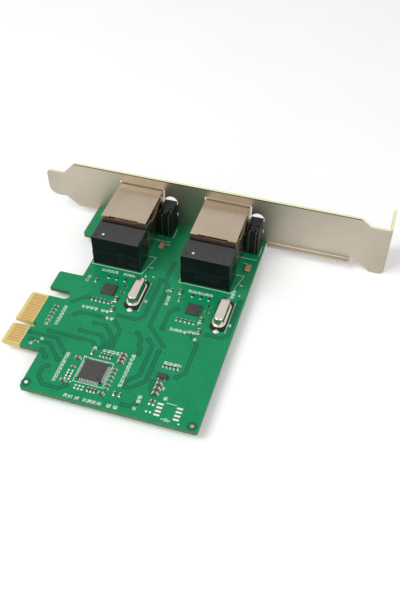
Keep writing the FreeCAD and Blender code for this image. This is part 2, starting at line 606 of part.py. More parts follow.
def shell_side_cut(body):
    """Upper edge of the side walls, cut back in steps below the top plate, and the rear seam."""
    sketch = new_sketch(body, "side_cut", "YZ_Plane")
    under_top = "Dims.shell_top - Dims.shell_sheet"
    draw_outline(sketch, [
        ("Dims.cut_front_y", under_top),
        ("Dims.cut_knee_y", under_top + " - Dims.cut_knee_drop"),
        ("Dims.cut_mid_y", under_top + " - Dims.cut_mid_drop"),
        ("Dims.cut_deep_y", under_top + " - Dims.cut_deep_drop"),
        ("Dims.seam_y", under_top + " - Dims.cut_seam_drop"),
        ("Dims.cut_back_y", under_top + " - Dims.cut_back_drop"),
        ("Dims.shell_rear + Dims.shell_sheet", under_top)])
    cut_pocket(body, sketch, "Dims.shell_wide * 2", middle=True)
    sketch = new_sketch(body, "side_seam", "YZ_Plane")
    draw_box(sketch, "Dims.seam_y", "Dims.seam_y + Dims.seam_gap",
             "Dims.seam_low", under_top + " - Dims.seam_drop")
    cut_pocket(body, sketch, "Dims.shell_wide * 2", middle=True)


def sill_relief(body):
    """Lower front edge stepped up so that it passes over the sill of the bracket window."""
    sketch = new_sketch(body, "sill_relief", "YZ_Plane")
    draw_box(sketch, "Dims.sill_start", "Dims.shell_front + 1", "Dims.window_low - 1",
             "Dims.window_low + Dims.sill_clear")
    cut_pocket(body, sketch, "Dims.shell_wide * 2", middle=True)


def shell_bumps(body):
    """Ground springs pressed out of both side walls, crests against the window edges."""
    flank = "Dims.shell_wide / 2"
    crest = "Dims.window_wide / 2"
    for sign in ("-1 * ", ""):
        sketch = new_sketch(body, "bump", "XY_Plane", "Dims.bump_low")
        draw_outline(sketch, [
            (sign + "(" + flank + ")", "Dims.bump_near"),
            (sign + "(" + crest + ")", "Dims.bump_crest_near"),
            (sign + "(" + crest + ")", "Dims.bump_crest_far"),
            (sign + "(" + flank + ")", "Dims.bump_far")])
        add_pad(body, sketch, "Dims.bump_tall")


def make_jack_shell(label, port):
    """Formed shell: top, sides and rear from one sheet, open below, with a framed face."""
    body = new_body(label.title().replace("_", ""), port)
    half = "Dims.shell_wide / 2"
    sketch = new_sketch(body, "shell_block", "XY_Plane", BOARD_TOP)
    draw_box(sketch, "-1 * " + half, half, "Dims.shell_rear", "Dims.shell_front")
    add_pad(body, sketch, "Dims.shell_top - " + BOARD_TOP)
    round_edges(body, "Dims.shell_sheet", Y_AXIS, [
        (sign + half, "Dims.shell_top") for sign in ("-1 * ", "")])
    sketch = new_sketch(body, "shell_hollow", "XY_Plane", BOARD_TOP + " - 1")
    inner = "(" + half + " - Dims.shell_sheet)"
    draw_box(sketch, "-1 * " + inner, inner, "Dims.shell_rear + Dims.shell_sheet",
             "Dims.shell_front - Dims.shell_sheet")
    cut_pocket(body, sketch, "Dims.shell_top - Dims.shell_sheet + 1 - " + BOARD_TOP,
               reverse=True)
    sketch = new_sketch(body, "face_opening", "XZ_Plane", "-Dims.shell_front + 1")
    face = "Dims.shell_face_wide / 2"
    draw_box(sketch, "-1 * " + face, face, "Dims.shell_face_low", "Dims.shell_face_top")
    cut_pocket(body, sketch, "3")
    sketch = new_sketch(body, "rear_slot", "XZ_Plane", "-Dims.shell_rear + 1")
    slot = "Dims.shell_slot_wide / 2"
    draw_box(sketch, "-1 * " + slot, slot, "Dims.shell_top - Dims.shell_slot_drop",
             "Dims.shell_top + 1")
    cut_pocket(body, sketch, "Dims.shell_slot_in + 1")
    shell_side_cut(body)
    sill_relief(body)
    shell_bumps(body)
    for sign in ("-1 * ", ""):
        sketch = new_sketch(body, "peg", "YZ_Plane", sign + "(" + half + ")")
        draw_box(sketch, "Dims.shell_peg_y - Dims.shell_peg_wide / 2",
                 "Dims.shell_peg_y + Dims.shell_peg_wide / 2", "Dims.shell_peg_low",
                 BOARD_TOP + " + Dims.shell_sheet")
        add_pad(body, sketch, "Dims.shell_sheet", reverse=not sign)
    return finish(body, label)


def make_jack_insert(label, port):
    """Moulded insert: plug cavity with latch steps, and two posts down through the board."""
    body = new_body(label.title().replace("_", ""), port)
    wall = "(Dims.shell_wide / 2 - Dims.shell_sheet)"
    sketch = new_sketch(body, "insert_block", "XY_Plane", BOARD_TOP)
    draw_box(sketch, "-1 * " + wall, wall, "Dims.insert_back", "Dims.insert_front")
    add_pad(body, sketch, "Dims.shell_top - Dims.shell_sheet - " + BOARD_TOP)
    sketch = new_sketch(body, "insert_shelf", "XY_Plane", BOARD_TOP + " + Dims.insert_shelf_lift")
    draw_box(sketch, "-1 * " + wall, wall, "Dims.insert_shelf_back", "Dims.insert_back + 1")
    add_pad(body, sketch, "Dims.insert_shelf_tall")
    sketch = new_sketch(body, "plug_cavity", "XZ_Plane", "-Dims.insert_front - 1")
    plug = "Dims.plug_wide / 2"
    latch = "Dims.latch_wide / 2"
    catch = "Dims.catch_wide / 2"
    draw_outline(sketch, [
        (catch, "Dims.catch_low"), (catch, "Dims.latch_low"), (latch, "Dims.latch_low"),
        (latch, "Dims.plug_low"), (plug, "Dims.plug_low"), (plug, "Dims.plug_top"),
        ("-1 * " + plug, "Dims.plug_top"), ("-1 * " + plug, "Dims.plug_low"),
        ("-1 * " + latch, "Dims.plug_low"), ("-1 * " + latch, "Dims.latch_low"),
        ("-1 * " + catch, "Dims.latch_low"), ("-1 * " + catch, "Dims.catch_low")])
    cut_pocket(body, sketch, "Dims.insert_front - Dims.plug_rear + 1", reverse=True)
    sill_relief(body)
    sketch = new_sketch(body, "posts", "XY_Plane", BOARD_TOP)
    draw_circle(sketch, "-Dims.post_spread", "Dims.post_y", "Dims.post_radius")
    draw_circle(sketch, "Dims.post_spread", "Dims.post_y", "Dims.post_radius")
    add_pad(body, sketch, BOARD_TOP + " - Dims.post_low", reverse=True)
    return finish(body, label)


def make_jack_contacts(label, port):
    """Eight sprung contacts: along the cavity roof, round a nose and down into the cavity."""
    start = "-Dims.spring_pitch * (Dims.spring_count - 1) / 2"
    body = new_body(label.title().replace("_", ""), port)
    sketch = new_sketch(body, "spring", "YZ_Plane", start)
    roof = "Dims.plug_top"
    gauge = "Dims.spring_gauge"
    draw_outline(sketch, [
        ("Dims.plug_rear", roof), ("Dims.spring_nose", roof),
        ("Dims.spring_nose + Dims.spring_bend", roof + " - Dims.spring_bend_drop"),
        ("Dims.spring_toe_y + Dims.spring_toe", "Dims.spring_toe_z - " + gauge),
        ("Dims.spring_toe_y", "Dims.spring_toe_z"),
        ("Dims.spring_nose - Dims.spring_heel", roof + " - " + gauge),
        ("Dims.plug_rear", roof + " - " + gauge)])
    pad = add_pad(body, sketch, "Dims.spring_wide", middle=True)
    doc.recompute()
    repeat(body, pad, "X_Axis", "Dims.spring_pitch", "Dims.spring_count")
    return finish(body, label)


def make_tails(label, rows, top):
    """Square soldered tails in straight rows, from under a component down through the board."""
    body = new_body(label.title().replace("_", ""))
    for tag, start_x, start_y, pitch, count in rows:
        sketch = new_sketch(body, tag + "_tail", "XY_Plane", "Dims.tail_low")
        draw_square(sketch, start_x, start_y, "Dims.tail_size")
        pad = add_pad(body, sketch, top + " - Dims.tail_low")
        doc.recompute()
        repeat(body, pad, "X_Axis", pitch, count)
    return finish(body, label)


# ---- line transformer: potted black case on two rows of tails ----

def make_transformer(label, port):
    """Moulded case with a parting line half way up, softened top edges and a pin-one dimple."""
    body = new_body(label.title().replace("_", ""), port)
    half = "Dims.coil_wide / 2"
    sketch = new_sketch(body, "lower_case", "XY_Plane", BOARD_TOP + " + Dims.coil_stand")
    draw_box(sketch, "-1 * " + half, half, "Dims.coil_near", "Dims.coil_far")
    add_pad(body, sketch, "Dims.coil_seam - Dims.coil_stand - " + BOARD_TOP)
    sketch = new_sketch(body, "upper_case", "XY_Plane", "Dims.coil_seam")
    inner = "(" + half + " - Dims.coil_step)"
    draw_box(sketch, "-1 * " + inner, inner, "Dims.coil_near + Dims.coil_step",
             "Dims.coil_far - Dims.coil_step")
    add_pad(body, sketch, "Dims.coil_top - Dims.coil_seam")
    soften_face(body, "Dims.coil_edge", Z_AXIS, "Dims.coil_top")
    sketch = new_sketch(body, "dimple", "XY_Plane", "Dims.coil_top")
    draw_circle(sketch, "-1 * " + half + " + Dims.dimple_in", "Dims.coil_near + Dims.dimple_in",
                "Dims.dimple_radius")
    cut_pocket(body, sketch, "Dims.dimple_deep")
    sketch = new_sketch(body, "stand_offs", "XY_Plane", BOARD_TOP)
    foot = "Dims.coil_foot"
    for left, right in (
            ("-1 * " + half, "-1 * " + half + " + " + foot), (half + " - " + foot, half)):
        draw_box(sketch, left, right, "Dims.coil_near", "Dims.coil_near + " + foot)
        draw_box(sketch, left, right, "Dims.coil_far - " + foot, "Dims.coil_far")
    add_pad(body, sketch, "Dims.coil_stand")
    return finish(body, label)


# ---- lamp holder: moulded block that stands two round lamps behind their bracket holes ----

def make_lamp_holder(label, port):
    """Holder block with two lead grooves up its rear face and two lamp bores in its front."""
    body = new_body(label.title().replace("_", ""), port + " + Dims.lamp_offset")
    half = "Dims.holder_wide / 2"
    sketch = new_sketch(body, "holder_block", "XY_Plane", BOARD_TOP)
    draw_box(sketch, "-1 * " + half, half, "Dims.holder_near", "Dims.holder_far")
    add_pad(body, sketch, "Dims.holder_top - " + BOARD_TOP)
    sketch = new_sketch(body, "lead_grooves", "XY_Plane", "Dims.holder_top")
    for sign in ("-1 * ", ""):
        middle = sign + "Dims.holder_groove_spread"
        draw_box(sketch, middle + " - Dims.holder_groove / 2",
                 middle + " + Dims.holder_groove / 2", "Dims.holder_near - 1",
                 "Dims.holder_near + Dims.holder_groove_deep")
    cut_pocket(body, sketch, "Dims.holder_top")
    sketch = new_sketch(body, "lamp_bores", "XZ_Plane", "-Dims.holder_far - 1")
    for level in ("Dims.lamp_low", "Dims.lamp_high"):
        draw_circle(sketch, "0", level, "Dims.lamp_radius")
    cut_pocket(body, sketch, "Dims.lamp_deep + 1", reverse=True)
    return finish(body, label)


def make_lamps(label, port):
    """Two round-nosed lamps seated in the bores of one holder, noses out through the bracket."""
    body = new_body(label.title().replace("_", ""), port + " + Dims.lamp_offset")
    for tag, level in (("low", "Dims.lamp_low"), ("high", "Dims.lamp_high")):
        sketch = new_sketch(body, "lamp_" + tag, "XZ_Plane", "-Dims.holder_far + Dims.lamp_deep")
        draw_circle(sketch, "0", level, "Dims.lamp_radius")
        add_pad(body, sketch, "Dims.lamp_deep + Dims.plate_thick", reverse=True)
    soften_face(body, "Dims.lamp_nose", Y_AXIS, "Dims.holder_far + Dims.plate_thick")
    return finish(body, label)


def make_lamp_leads(label, port):
    """Four bent leads, back from their lamps and down the grooves through the board."""
    body = new_body(label.title().replace("_", ""))
    back = "Dims.holder_far - Dims.lamp_deep"
    half = "Dims.lamp_lead / 2"
    for number, (across, along, level) in enumerate(lamp_lead_spots(port)):
        sketch = new_sketch(body, "lead_%d" % number, "YZ_Plane", across)
        draw_outline(sketch, [
            (along + " - " + half, "Dims.tail_low"), (along + " + " + half, "Dims.tail_low"),
            (along + " + " + half, level + " - " + half), (back, level + " - " + half),
            (back, level + " + " + half), (along + " - " + half, level + " + " + half)])
        add_pad(body, sketch, "Dims.lamp_lead", middle=True)
    return finish(body, label)


# ---- timing crystal: drawn can welded to a rimmed header on an insulating pad ----

def make_crystal_can(label, middle_x, middle_y):
    """Oblong can with its rim, top edge rounded by drawing."""
    body = new_body(label.title().replace("_", ""), middle_x, middle_y,
                    BOARD_TOP + " + Dims.crystal_pad_tall")
    sketch = new_sketch(body, "rim", "XY_Plane")
    oblong(sketch, "Dims.crystal_rim_long", "Dims.crystal_rim_wide")
    add_pad(body, sketch, "Dims.crystal_rim_tall")
    sketch = new_sketch(body, "can", "XY_Plane", "Dims.crystal_rim_tall")
    oblong(sketch, "Dims.crystal_can_long", "Dims.crystal_can_wide")
    add_pad(body, sketch, "Dims.crystal_can_tall")
    soften_face(body, "Dims.crystal_can_edge", Z_AXIS,
                "Dims.crystal_rim_tall + Dims.crystal_can_tall")
    return finish(body, label)


def make_crystal_pad(label, middle_x, middle_y):
    """Insulating pad under the header, notched at both ends for the feet."""
    body = new_body(label.title().replace("_", ""), middle_x, middle_y, BOARD_TOP)
    half = "Dims.crystal_pad_long / 2"
    side = "Dims.crystal_pad_wide / 2"
    sketch = new_sketch(body, "pad", "XY_Plane")
    draw_box(sketch, "-1 * " + side, side, "-1 * " + half, half)
    add_pad(body, sketch, "Dims.crystal_pad_tall")
    round_edges(body, "Dims.crystal_pad_corner", Z_AXIS, [
        (across + side, along + half) for across in ("-1 * ", "") for along in ("-1 * ", "")])
    sketch = new_sketch(body, "foot_ways", "XY_Plane")
    foot = "(Dims.crystal_foot_wide / 2 + Dims.crystal_foot_clear)"
    draw_box(sketch, "-1 * " + foot, foot, half + " - Dims.crystal_foot_way", half + " + 1")
    draw_box(sketch, "-1 * " + foot, foot, "-1 * " + half + " - 1",
             "-1 * " + half + " + Dims.crystal_foot_way")
    cut_pocket(body, sketch, "Dims.crystal_foot_thick", reverse=True)
    return finish(body, label)


def make_crystal_feet(label, middle_x, middle_y):
    """Flat soldered feet, one out from under each end of the pad."""
    body = new_body(label.title().replace("_", ""), middle_x, middle_y, BOARD_TOP)
    half = "Dims.crystal_pad_long / 2"
    foot = "Dims.crystal_foot_wide / 2"
    out = half + " + Dims.crystal_foot_out"
    sketch = new_sketch(body, "feet", "XY_Plane")
    draw_box(sketch, "-1 * " + foot, foot, half + " - Dims.crystal_foot_in", out)
    draw_box(sketch, "-1 * " + foot, foot, "-1 * (" + out + ")",
             "-1 * " + half + " + Dims.crystal_foot_in")
    add_pad(body, sketch, "Dims.crystal_foot_thick")
    return finish(body, label)


# ---- chips: moulded packages with leads formed from sheet ----

def make_package(label, middle_x, middle_y, prefix, long, wide):
    """Rectangular moulded package with softened top edges."""
    gap = prefix + "gap"
    tall = prefix + "tall"
    edge = prefix + "edge"
    body = new_body(label.title().replace("_", ""), middle_x, middle_y, BOARD_TOP)
    sketch = new_sketch(body, "package", "XY_Plane", gap)
    draw_box(sketch, "-1 * " + long + " / 2", long + " / 2",
             "-1 * " + wide + " / 2", wide + " / 2")
    add_pad(body, sketch, tall)
    soften_face(body, edge, Z_AXIS, gap + " + " + tall)
    return finish(body, label)


def lead_corners(sign, half, gap, tall, reach, foot, gauge):
    """Gull-wing lead seen from its side, from the package flank down to its foot."""
    shoulder = gap + " + " + tall + " / 2"
    ankle = half + " + " + reach + " - " + foot
    toe = half + " + " + reach
    corners = ((half, shoulder), (ankle, gauge), (toe, gauge), (toe, "0"),
               (ankle + " - " + gauge, "0"), (half, shoulder + " - " + gauge))
    return [(sign + "(" + across + ")", up) for across, up in corners]


def lead_row(body, side, half, prefix, count):
    """One row of gull-wing leads, on the left, right, near or far side of a package."""
    start = "-1 * " + prefix + "lead_pitch * (" + count + " - 1) / 2"
    along_x = side in ("near", "far")
    role = "YZ_Plane" if along_x else "XZ_Plane"
    offset = start if along_x else "-1 * (" + start + ")"
    sign = "-1 * " if side in ("near", "left") else ""
    sketch = new_sketch(body, "lead_" + side, role, offset)
    draw_outline(sketch, lead_corners(
        sign, half, prefix + "gap", prefix + "tall", prefix + "lead_reach",
        prefix + "lead_foot", prefix + "lead_gauge"))
    pad = add_pad(body, sketch, prefix + "lead_wide", middle=True)
    doc.recompute()
    return repeat(body, pad, "X_Axis" if along_x else "Y_Axis", prefix + "lead_pitch", count)


def make_bridge_leads():
    """Fine leads along all four sides of the bridge chip."""
    body = new_body("BridgeLeads", "Dims.bridge_x", "Dims.bridge_y", BOARD_TOP)
    for side in ("near", "far", "left", "right"):
        lead_row(body, side, "Dims.bridge_size / 2", "Dims.bridge_", "Dims.bridge_lead_count")
    return finish(body, "bridge_leads")


def make_supply_leads():
    """Three leads on each long side of the voltage regulator."""
    body = new_body("SupplyLeads", "Dims.supply_x", "Dims.supply_y", BOARD_TOP)
    for side in ("near", "far"):
        lead_row(body, side, "Dims.supply_wide / 2", "Dims.supply_", "Dims.supply_lead_count")
    return finish(body, "regulator_leads")


def make_control_pads(label, middle_x, middle_y):
    """Plated side pads of a leadless controller chip, showing along its foot on four sides."""
    body = new_body(label.title().replace("_", ""), middle_x, middle_y, BOARD_TOP)
    start = "-1 * Dims.control_pad_pitch * (Dims.control_pad_count - 1) / 2"
    low = start + " - Dims.control_pad_wide / 2"
    high = start + " + Dims.control_pad_wide / 2"
    near = "Dims.control_size / 2"
    far = near + " + Dims.control_pad_out"
    for side, axis in (
            ("left", "Y_Axis"), ("right", "Y_Axis"), ("near", "X_Axis"), ("far", "X_Axis")):
        sketch = new_sketch(body, "pad_" + side, "XY_Plane")
        sign = "-1 * " if side in ("left", "near") else ""
        span = (sign + "(" + near + ")", sign + "(" + far + ")")
        if axis == "Y_Axis":
            draw_box(sketch, span[0], span[1], low, high)
        else:
            draw_box(sketch, low, high, span[0], span[1])
        pad = add_pad(body, sketch, "Dims.control_pad_tall")
        doc.recompute()
        repeat(body, pad, axis, "Dims.control_pad_pitch", "Dims.control_pad_count")
    return finish(body, label)


# ---- ceramic capacitors: fired block with a plated cap on each end ----

def make_surge_body(label, middle_x, middle_y):
    """Bare ceramic between the two end caps."""
    body = new_body(label.title().replace("_", ""), middle_x, middle_y, BOARD_TOP)
    reach = "(Dims.surge_long / 2 - Dims.surge_end)"
    sketch = new_sketch(body, "ceramic", "XY_Plane")
    draw_box(sketch, "-Dims.surge_wide / 2", "Dims.surge_wide / 2", "-1 * " + reach, reach)
    add_pad(body, sketch, "Dims.surge_tall")
    return finish(body, label)


def make_surge_ends(label, middle_x, middle_y):
    """Plated end caps of one ceramic capacitor."""
    body = new_body(label.title().replace("_", ""), middle_x, middle_y, BOARD_TOP)
    reach = "Dims.surge_long / 2 - Dims.surge_end"
    sketch = new_sketch(body, "end_caps", "XY_Plane")
    draw_box(sketch, "-Dims.surge_wide / 2", "Dims.surge_wide / 2", reach, "Dims.surge_long / 2")
    draw_box(sketch, "-Dims.surge_wide / 2", "Dims.surge_wide / 2", "-Dims.surge_long / 2",
             "-1 * (" + reach + ")")
    add_pad(body, sketch, "Dims.surge_tall")
    return finish(body, label)


# ---- small chip components: ceramic or film blocks with plated ends, soldered in rows ----

def chip_boxes(kind, lying, ends):
    """Spans in X and Y of a component's body, or of its two ends, about its middle."""
    size = "Dims.%s_" % kind
    half_long = size + "long / 2"
    half_wide = size + "wide / 2"
    inner = "(" + half_long + " - " + size + "end)"
    across = ("-1 * " + half_wide, half_wide)
    spans = [("-1 * " + inner, inner)]
    if ends:
        spans = [("-1 * " + half_long, "-1 * " + inner), (inner, half_long)]
    return [(span, across) if lying == "X" else (across, span) for span in spans]


def make_chip_rows(label, kinds, ends):
    """Bodies, or plated ends, of every row of the given kinds."""
    body = new_body(label.title().replace("_", ""), "0", "0", BOARD_TOP)
    for name, kind, _, _, _, count, runs, lying in CHIP_ROWS:
        if kind not in kinds:
            continue
        middle_x = "Dims.%s_x" % name
        middle_y = "Dims.%s_y" % name
        sketch = new_sketch(body, name, "XY_Plane")
        for span_x, span_y in chip_boxes(kind, lying, ends):
            draw_box(sketch, middle_x + " + " + span_x[0], middle_x + " + " + span_x[1],
                     middle_y + " + " + span_y[0], middle_y + " + " + span_y[1])
        pad = add_pad(body, sketch, "Dims.%s_tall" % kind)
        if count > 1:
            doc.recompute()
            repeat(body, pad, runs + "_Axis", "Dims.%s_pitch" % name, "Dims.%s_count" % name)
    return finish(body, label)


# ---- assembly ----

make_board()
make_edge_contacts("edge_contacts_top", False)
make_edge_contacts("edge_contacts_under", True)
make_bracket()
for place_name, port in (("1", "Dims.port_one"), ("2", "Dims.port_two")):
    rows = tail_rows(port)
    make_jack_shell("jack_shell_" + place_name, port)
    make_jack_insert("jack_insert_" + place_name, port)
    make_jack_contacts("jack_contacts_" + place_name, port)
    make_tails("jack_tails_" + place_name, rows[2:], BOARD_TOP + " + Dims.insert_shelf_lift")
    make_transformer("transformer_" + place_name, port)
    make_tails("transformer_tails_" + place_name, rows[:2], BOARD_TOP + " + Dims.coil_stand")
    make_lamp_holder("lamp_holder_" + place_name, port)
    make_lamps("lamps_" + place_name, port)
    make_lamp_leads("lamp_leads_" + place_name, port)
for place_name, word in (("1", "one"), ("2", "two")):
    spot = ("Dims.crystal_%s_x" % word, "Dims.crystal_%s_y" % word)
    make_crystal_can("crystal_can_" + place_name, *spot)
    make_crystal_pad("crystal_pad_" + place_name, *spot)
    make_crystal_feet("crystal_feet_" + place_name, *spot)
    spot = ("Dims.control_%s_x" % word, "Dims.control_%s_y" % word)
    make_package("controller_chip_" + place_name, *spot, "Dims.control_",
                 "Dims.control_size", "Dims.control_size")
    make_control_pads("controller_pads_" + place_name, *spot)
    spot = ("Dims.surge_%s_x" % word, "Dims.surge_%s_y" % word)
    make_surge_body("ceramic_capacitor_" + place_name, *spot)
    make_surge_ends("ceramic_capacitor_ends_" + place_name, *spot)
make_package("bridge_chip", "Dims.bridge_x", "Dims.bridge_y", "Dims.bridge_",
             "Dims.bridge_size", "Dims.bridge_size")
make_bridge_leads()
make_package("regulator", "Dims.supply_x", "Dims.supply_y", "Dims.supply_",
             "Dims.supply_long", "Dims.supply_wide")
make_supply_leads()
make_chip_rows("resistors", ("resistor",), False)
make_chip_rows("resistor_ends", ("resistor",), True)
make_chip_rows("small_capacitors", ("chip", "block"), False)
make_chip_rows("small_capacitor_ends", ("chip", "block"), True)

doc.recompute()
for item in doc.Objects:
    if "Invalid" in item.State or "Error" in item.State:
        raise RuntimeError("%s failed: %s" % (item.Name, item.State))
for piece in sub_parts:
    if piece.Shape.isNull() or not piece.Shape.isValid():
        raise RuntimeError(piece.Label + " has no valid shape")
os.makedirs("parts", exist_ok=True)
for piece in sub_parts:
    piece.Shape.exportStep("parts/%s.step" % piece.Label)
    box = piece.Shape.BoundBox
    print("%-28s %2d solids %9.2f mm3  X %7.2f %7.2f  Y %7.2f %7.2f  Z %6.2f %6.2f" % (
        piece.Label, len(piece.Shape.Solids), piece.Shape.Volume,
        box.XMin, box.XMax, box.YMin, box.YMax, box.ZMin, box.ZMax))
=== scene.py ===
import math

import bmesh
import bpy
from mathutils import Matrix, Vector


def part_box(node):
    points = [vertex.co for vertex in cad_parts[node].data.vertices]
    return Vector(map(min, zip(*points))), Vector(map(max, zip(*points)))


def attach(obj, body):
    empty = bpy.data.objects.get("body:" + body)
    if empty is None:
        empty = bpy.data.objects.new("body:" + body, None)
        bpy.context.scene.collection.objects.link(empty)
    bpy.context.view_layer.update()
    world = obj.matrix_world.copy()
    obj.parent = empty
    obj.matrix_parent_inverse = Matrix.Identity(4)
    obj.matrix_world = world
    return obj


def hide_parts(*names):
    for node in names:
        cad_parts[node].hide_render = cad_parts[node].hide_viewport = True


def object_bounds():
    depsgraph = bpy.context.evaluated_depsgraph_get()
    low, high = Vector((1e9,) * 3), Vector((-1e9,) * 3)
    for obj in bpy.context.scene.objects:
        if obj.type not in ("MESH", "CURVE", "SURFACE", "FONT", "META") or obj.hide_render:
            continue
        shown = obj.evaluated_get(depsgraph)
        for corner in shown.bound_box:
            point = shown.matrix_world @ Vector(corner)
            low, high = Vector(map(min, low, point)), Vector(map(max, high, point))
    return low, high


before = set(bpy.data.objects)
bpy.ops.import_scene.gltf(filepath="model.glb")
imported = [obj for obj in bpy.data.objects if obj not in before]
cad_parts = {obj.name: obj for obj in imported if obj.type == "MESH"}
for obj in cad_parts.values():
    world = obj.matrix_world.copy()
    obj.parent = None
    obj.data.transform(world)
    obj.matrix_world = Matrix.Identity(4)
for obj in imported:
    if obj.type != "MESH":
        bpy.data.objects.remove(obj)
cad_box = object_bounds()
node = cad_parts
MM = 0.001


# ---- circuit board: glass laminate with inner copper, sealed under green solder mask ----
# The mask is satin.  It stops at the routed edges, where the copper layers show as fine lines, and
# short of the two contact tabs, where the yellower laminate is bare.

def shader(name, metallic=0.0, specular=0.5):
    """A new material with its tree, its main shader and plain values set on it."""
    material = bpy.data.materials.new(name)
    material.use_nodes = True
    tree = material.node_tree
    main = tree.nodes["Principled BSDF"]
    main.inputs["Metallic"].default_value = metallic
    main.inputs["Specular IOR Level"].default_value = specular
    return material, tree, main


def add_node(tree, kind, **settings):
    """A node of a kind, with its own settings."""
    made = tree.nodes.new(kind)
    for key, value in settings.items():
        setattr(made, key, value)
    return made


def mixed(tree, share, first, second):
    """Colour mix of two colours or sockets, by a share socket."""
    made = add_node(tree, "ShaderNodeMix", data_type="RGBA")
    tree.links.new(share, made.inputs["Factor"])
    for socket, value in zip([s for s in made.inputs if s.type == "RGBA"], (first, second)):
        if isinstance(value, bpy.types.NodeSocket):
            tree.links.new(value, socket)
        else:
            socket.default_value = (*value, 1.0)
    return [s for s in made.outputs if s.type == "RGBA"][0]


def maths(tree, operation, first, second=None, clamp=False):
    """One arithmetic step on sockets or numbers."""
    made = add_node(tree, "ShaderNodeMath", operation=operation, use_clamp=clamp)
    for socket, value in zip(made.inputs, (first, second)):
        if isinstance(value, bpy.types.NodeSocket):
            tree.links.new(value, socket)
        elif value is not None:
            socket.default_value = value
    return made.outputs[0]


def grain_group():
    """Shared fine grain: two colours and two roughness values mixed by noise, and a height."""
    group = bpy.data.node_groups.new("surface_grain", "ShaderNodeTree")
    face = group.interface
    face.new_socket("Base", in_out="INPUT", socket_type="NodeSocketColor")
    face.new_socket("Shade", in_out="INPUT", socket_type="NodeSocketColor")
    for title, value in (("Scale", 400.0), ("Smooth", 0.3), ("Rough", 0.5), ("Contrast", 2.0)):
        face.new_socket(title, in_out="INPUT", socket_type="NodeSocketFloat").default_value = value
    face.new_socket("Color", in_out="OUTPUT", socket_type="NodeSocketColor")
    face.new_socket("Roughness", in_out="OUTPUT", socket_type="NodeSocketFloat")
    face.new_socket("Height", in_out="OUTPUT", socket_type="NodeSocketFloat")
    inside = group.nodes.new("NodeGroupInput")
    outside = group.nodes.new("NodeGroupOutput")
    place = group.nodes.new("ShaderNodeTexCoord")
    noise = add_node(group, "ShaderNodeTexNoise")
    noise.inputs["Detail"].default_value = 6.0
    group.links.new(place.outputs["Object"], noise.inputs["Vector"])
    group.links.new(inside.outputs["Scale"], noise.inputs["Scale"])
    centred = maths(group, "SUBTRACT", noise.outputs["Fac"], 0.5)
    spread = maths(group, "MULTIPLY", centred, inside.outputs["Contrast"])
    share = maths(group, "ADD", spread, 0.5, clamp=True)
    colour = mixed(group, share, inside.outputs["Base"], inside.outputs["Shade"])
    band = maths(group, "SUBTRACT", inside.outputs["Rough"], inside.outputs["Smooth"])
    rough = maths(group, "ADD", maths(group, "MULTIPLY", band, share), inside.outputs["Smooth"])
    group.links.new(colour, outside.inputs["Color"])
    group.links.new(rough, outside.inputs["Roughness"])
    group.links.new(noise.outputs["Fac"], outside.inputs["Height"])
    return group


surface_grain = grain_group()


def grain(tree, base, shade, scale, smooth, rough):
    """One use of the shared grain, with its own colours and sizes."""
    made = add_node(tree, "ShaderNodeGroup", node_tree=surface_grain)
    made.inputs["Base"].default_value = (*base, 1.0)
    made.inputs["Shade"].default_value = (*shade, 1.0)
    made.inputs["Scale"].default_value = scale
    made.inputs["Smooth"].default_value = smooth
    made.inputs["Rough"].default_value = rough
    return made


def bumped(tree, main, height, strength, distance):
    """Relief on the main shader from a height."""
    bump = add_node(tree, "ShaderNodeBump")
    bump.inputs["Strength"].default_value = strength
    bump.inputs["Distance"].default_value = distance
    tree.links.new(height, bump.inputs["Height"])
    tree.links.new(bump.outputs["Normal"], main.inputs["Normal"])


GRAIN_DEPTH = 0.02 * MM


def finish_of(name, base, shade, scale, smooth, rough, metallic=0.0, relief=0.15, specular=0.5):
    """A whole finish made of one grain."""
    material, tree, main = shader(name, metallic, specular)
    speck = grain(tree, base, shade, scale, smooth, rough)
    tree.links.new(speck.outputs["Color"], main.inputs["Base Color"])
    tree.links.new(speck.outputs["Roughness"], main.inputs["Roughness"])
    bumped(tree, main, speck.outputs["Height"], relief, GRAIN_DEPTH)
    return material


def dress(names, material):
    """Give CAD nodes a finish through their own material slots."""
    for name in names:
        if not node[name].material_slots:
            node[name].data.materials.append(material)
        for slot in node[name].material_slots:
            slot.material = material


board_low, board_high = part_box("circuit_board")
BOARD_TOP = board_high.z
BOARD_UNDER = board_low.z
CONTACT_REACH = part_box("edge_contacts_top")[1].x + 0.45 * MM
HOOK_START = 14.0 * MM
LAYER_WAVES = 9000.0
LAYER_CUT = 0.93
MASK_DEPTH = 0.03 * MM
EDGE_ROUGHER = 0.3


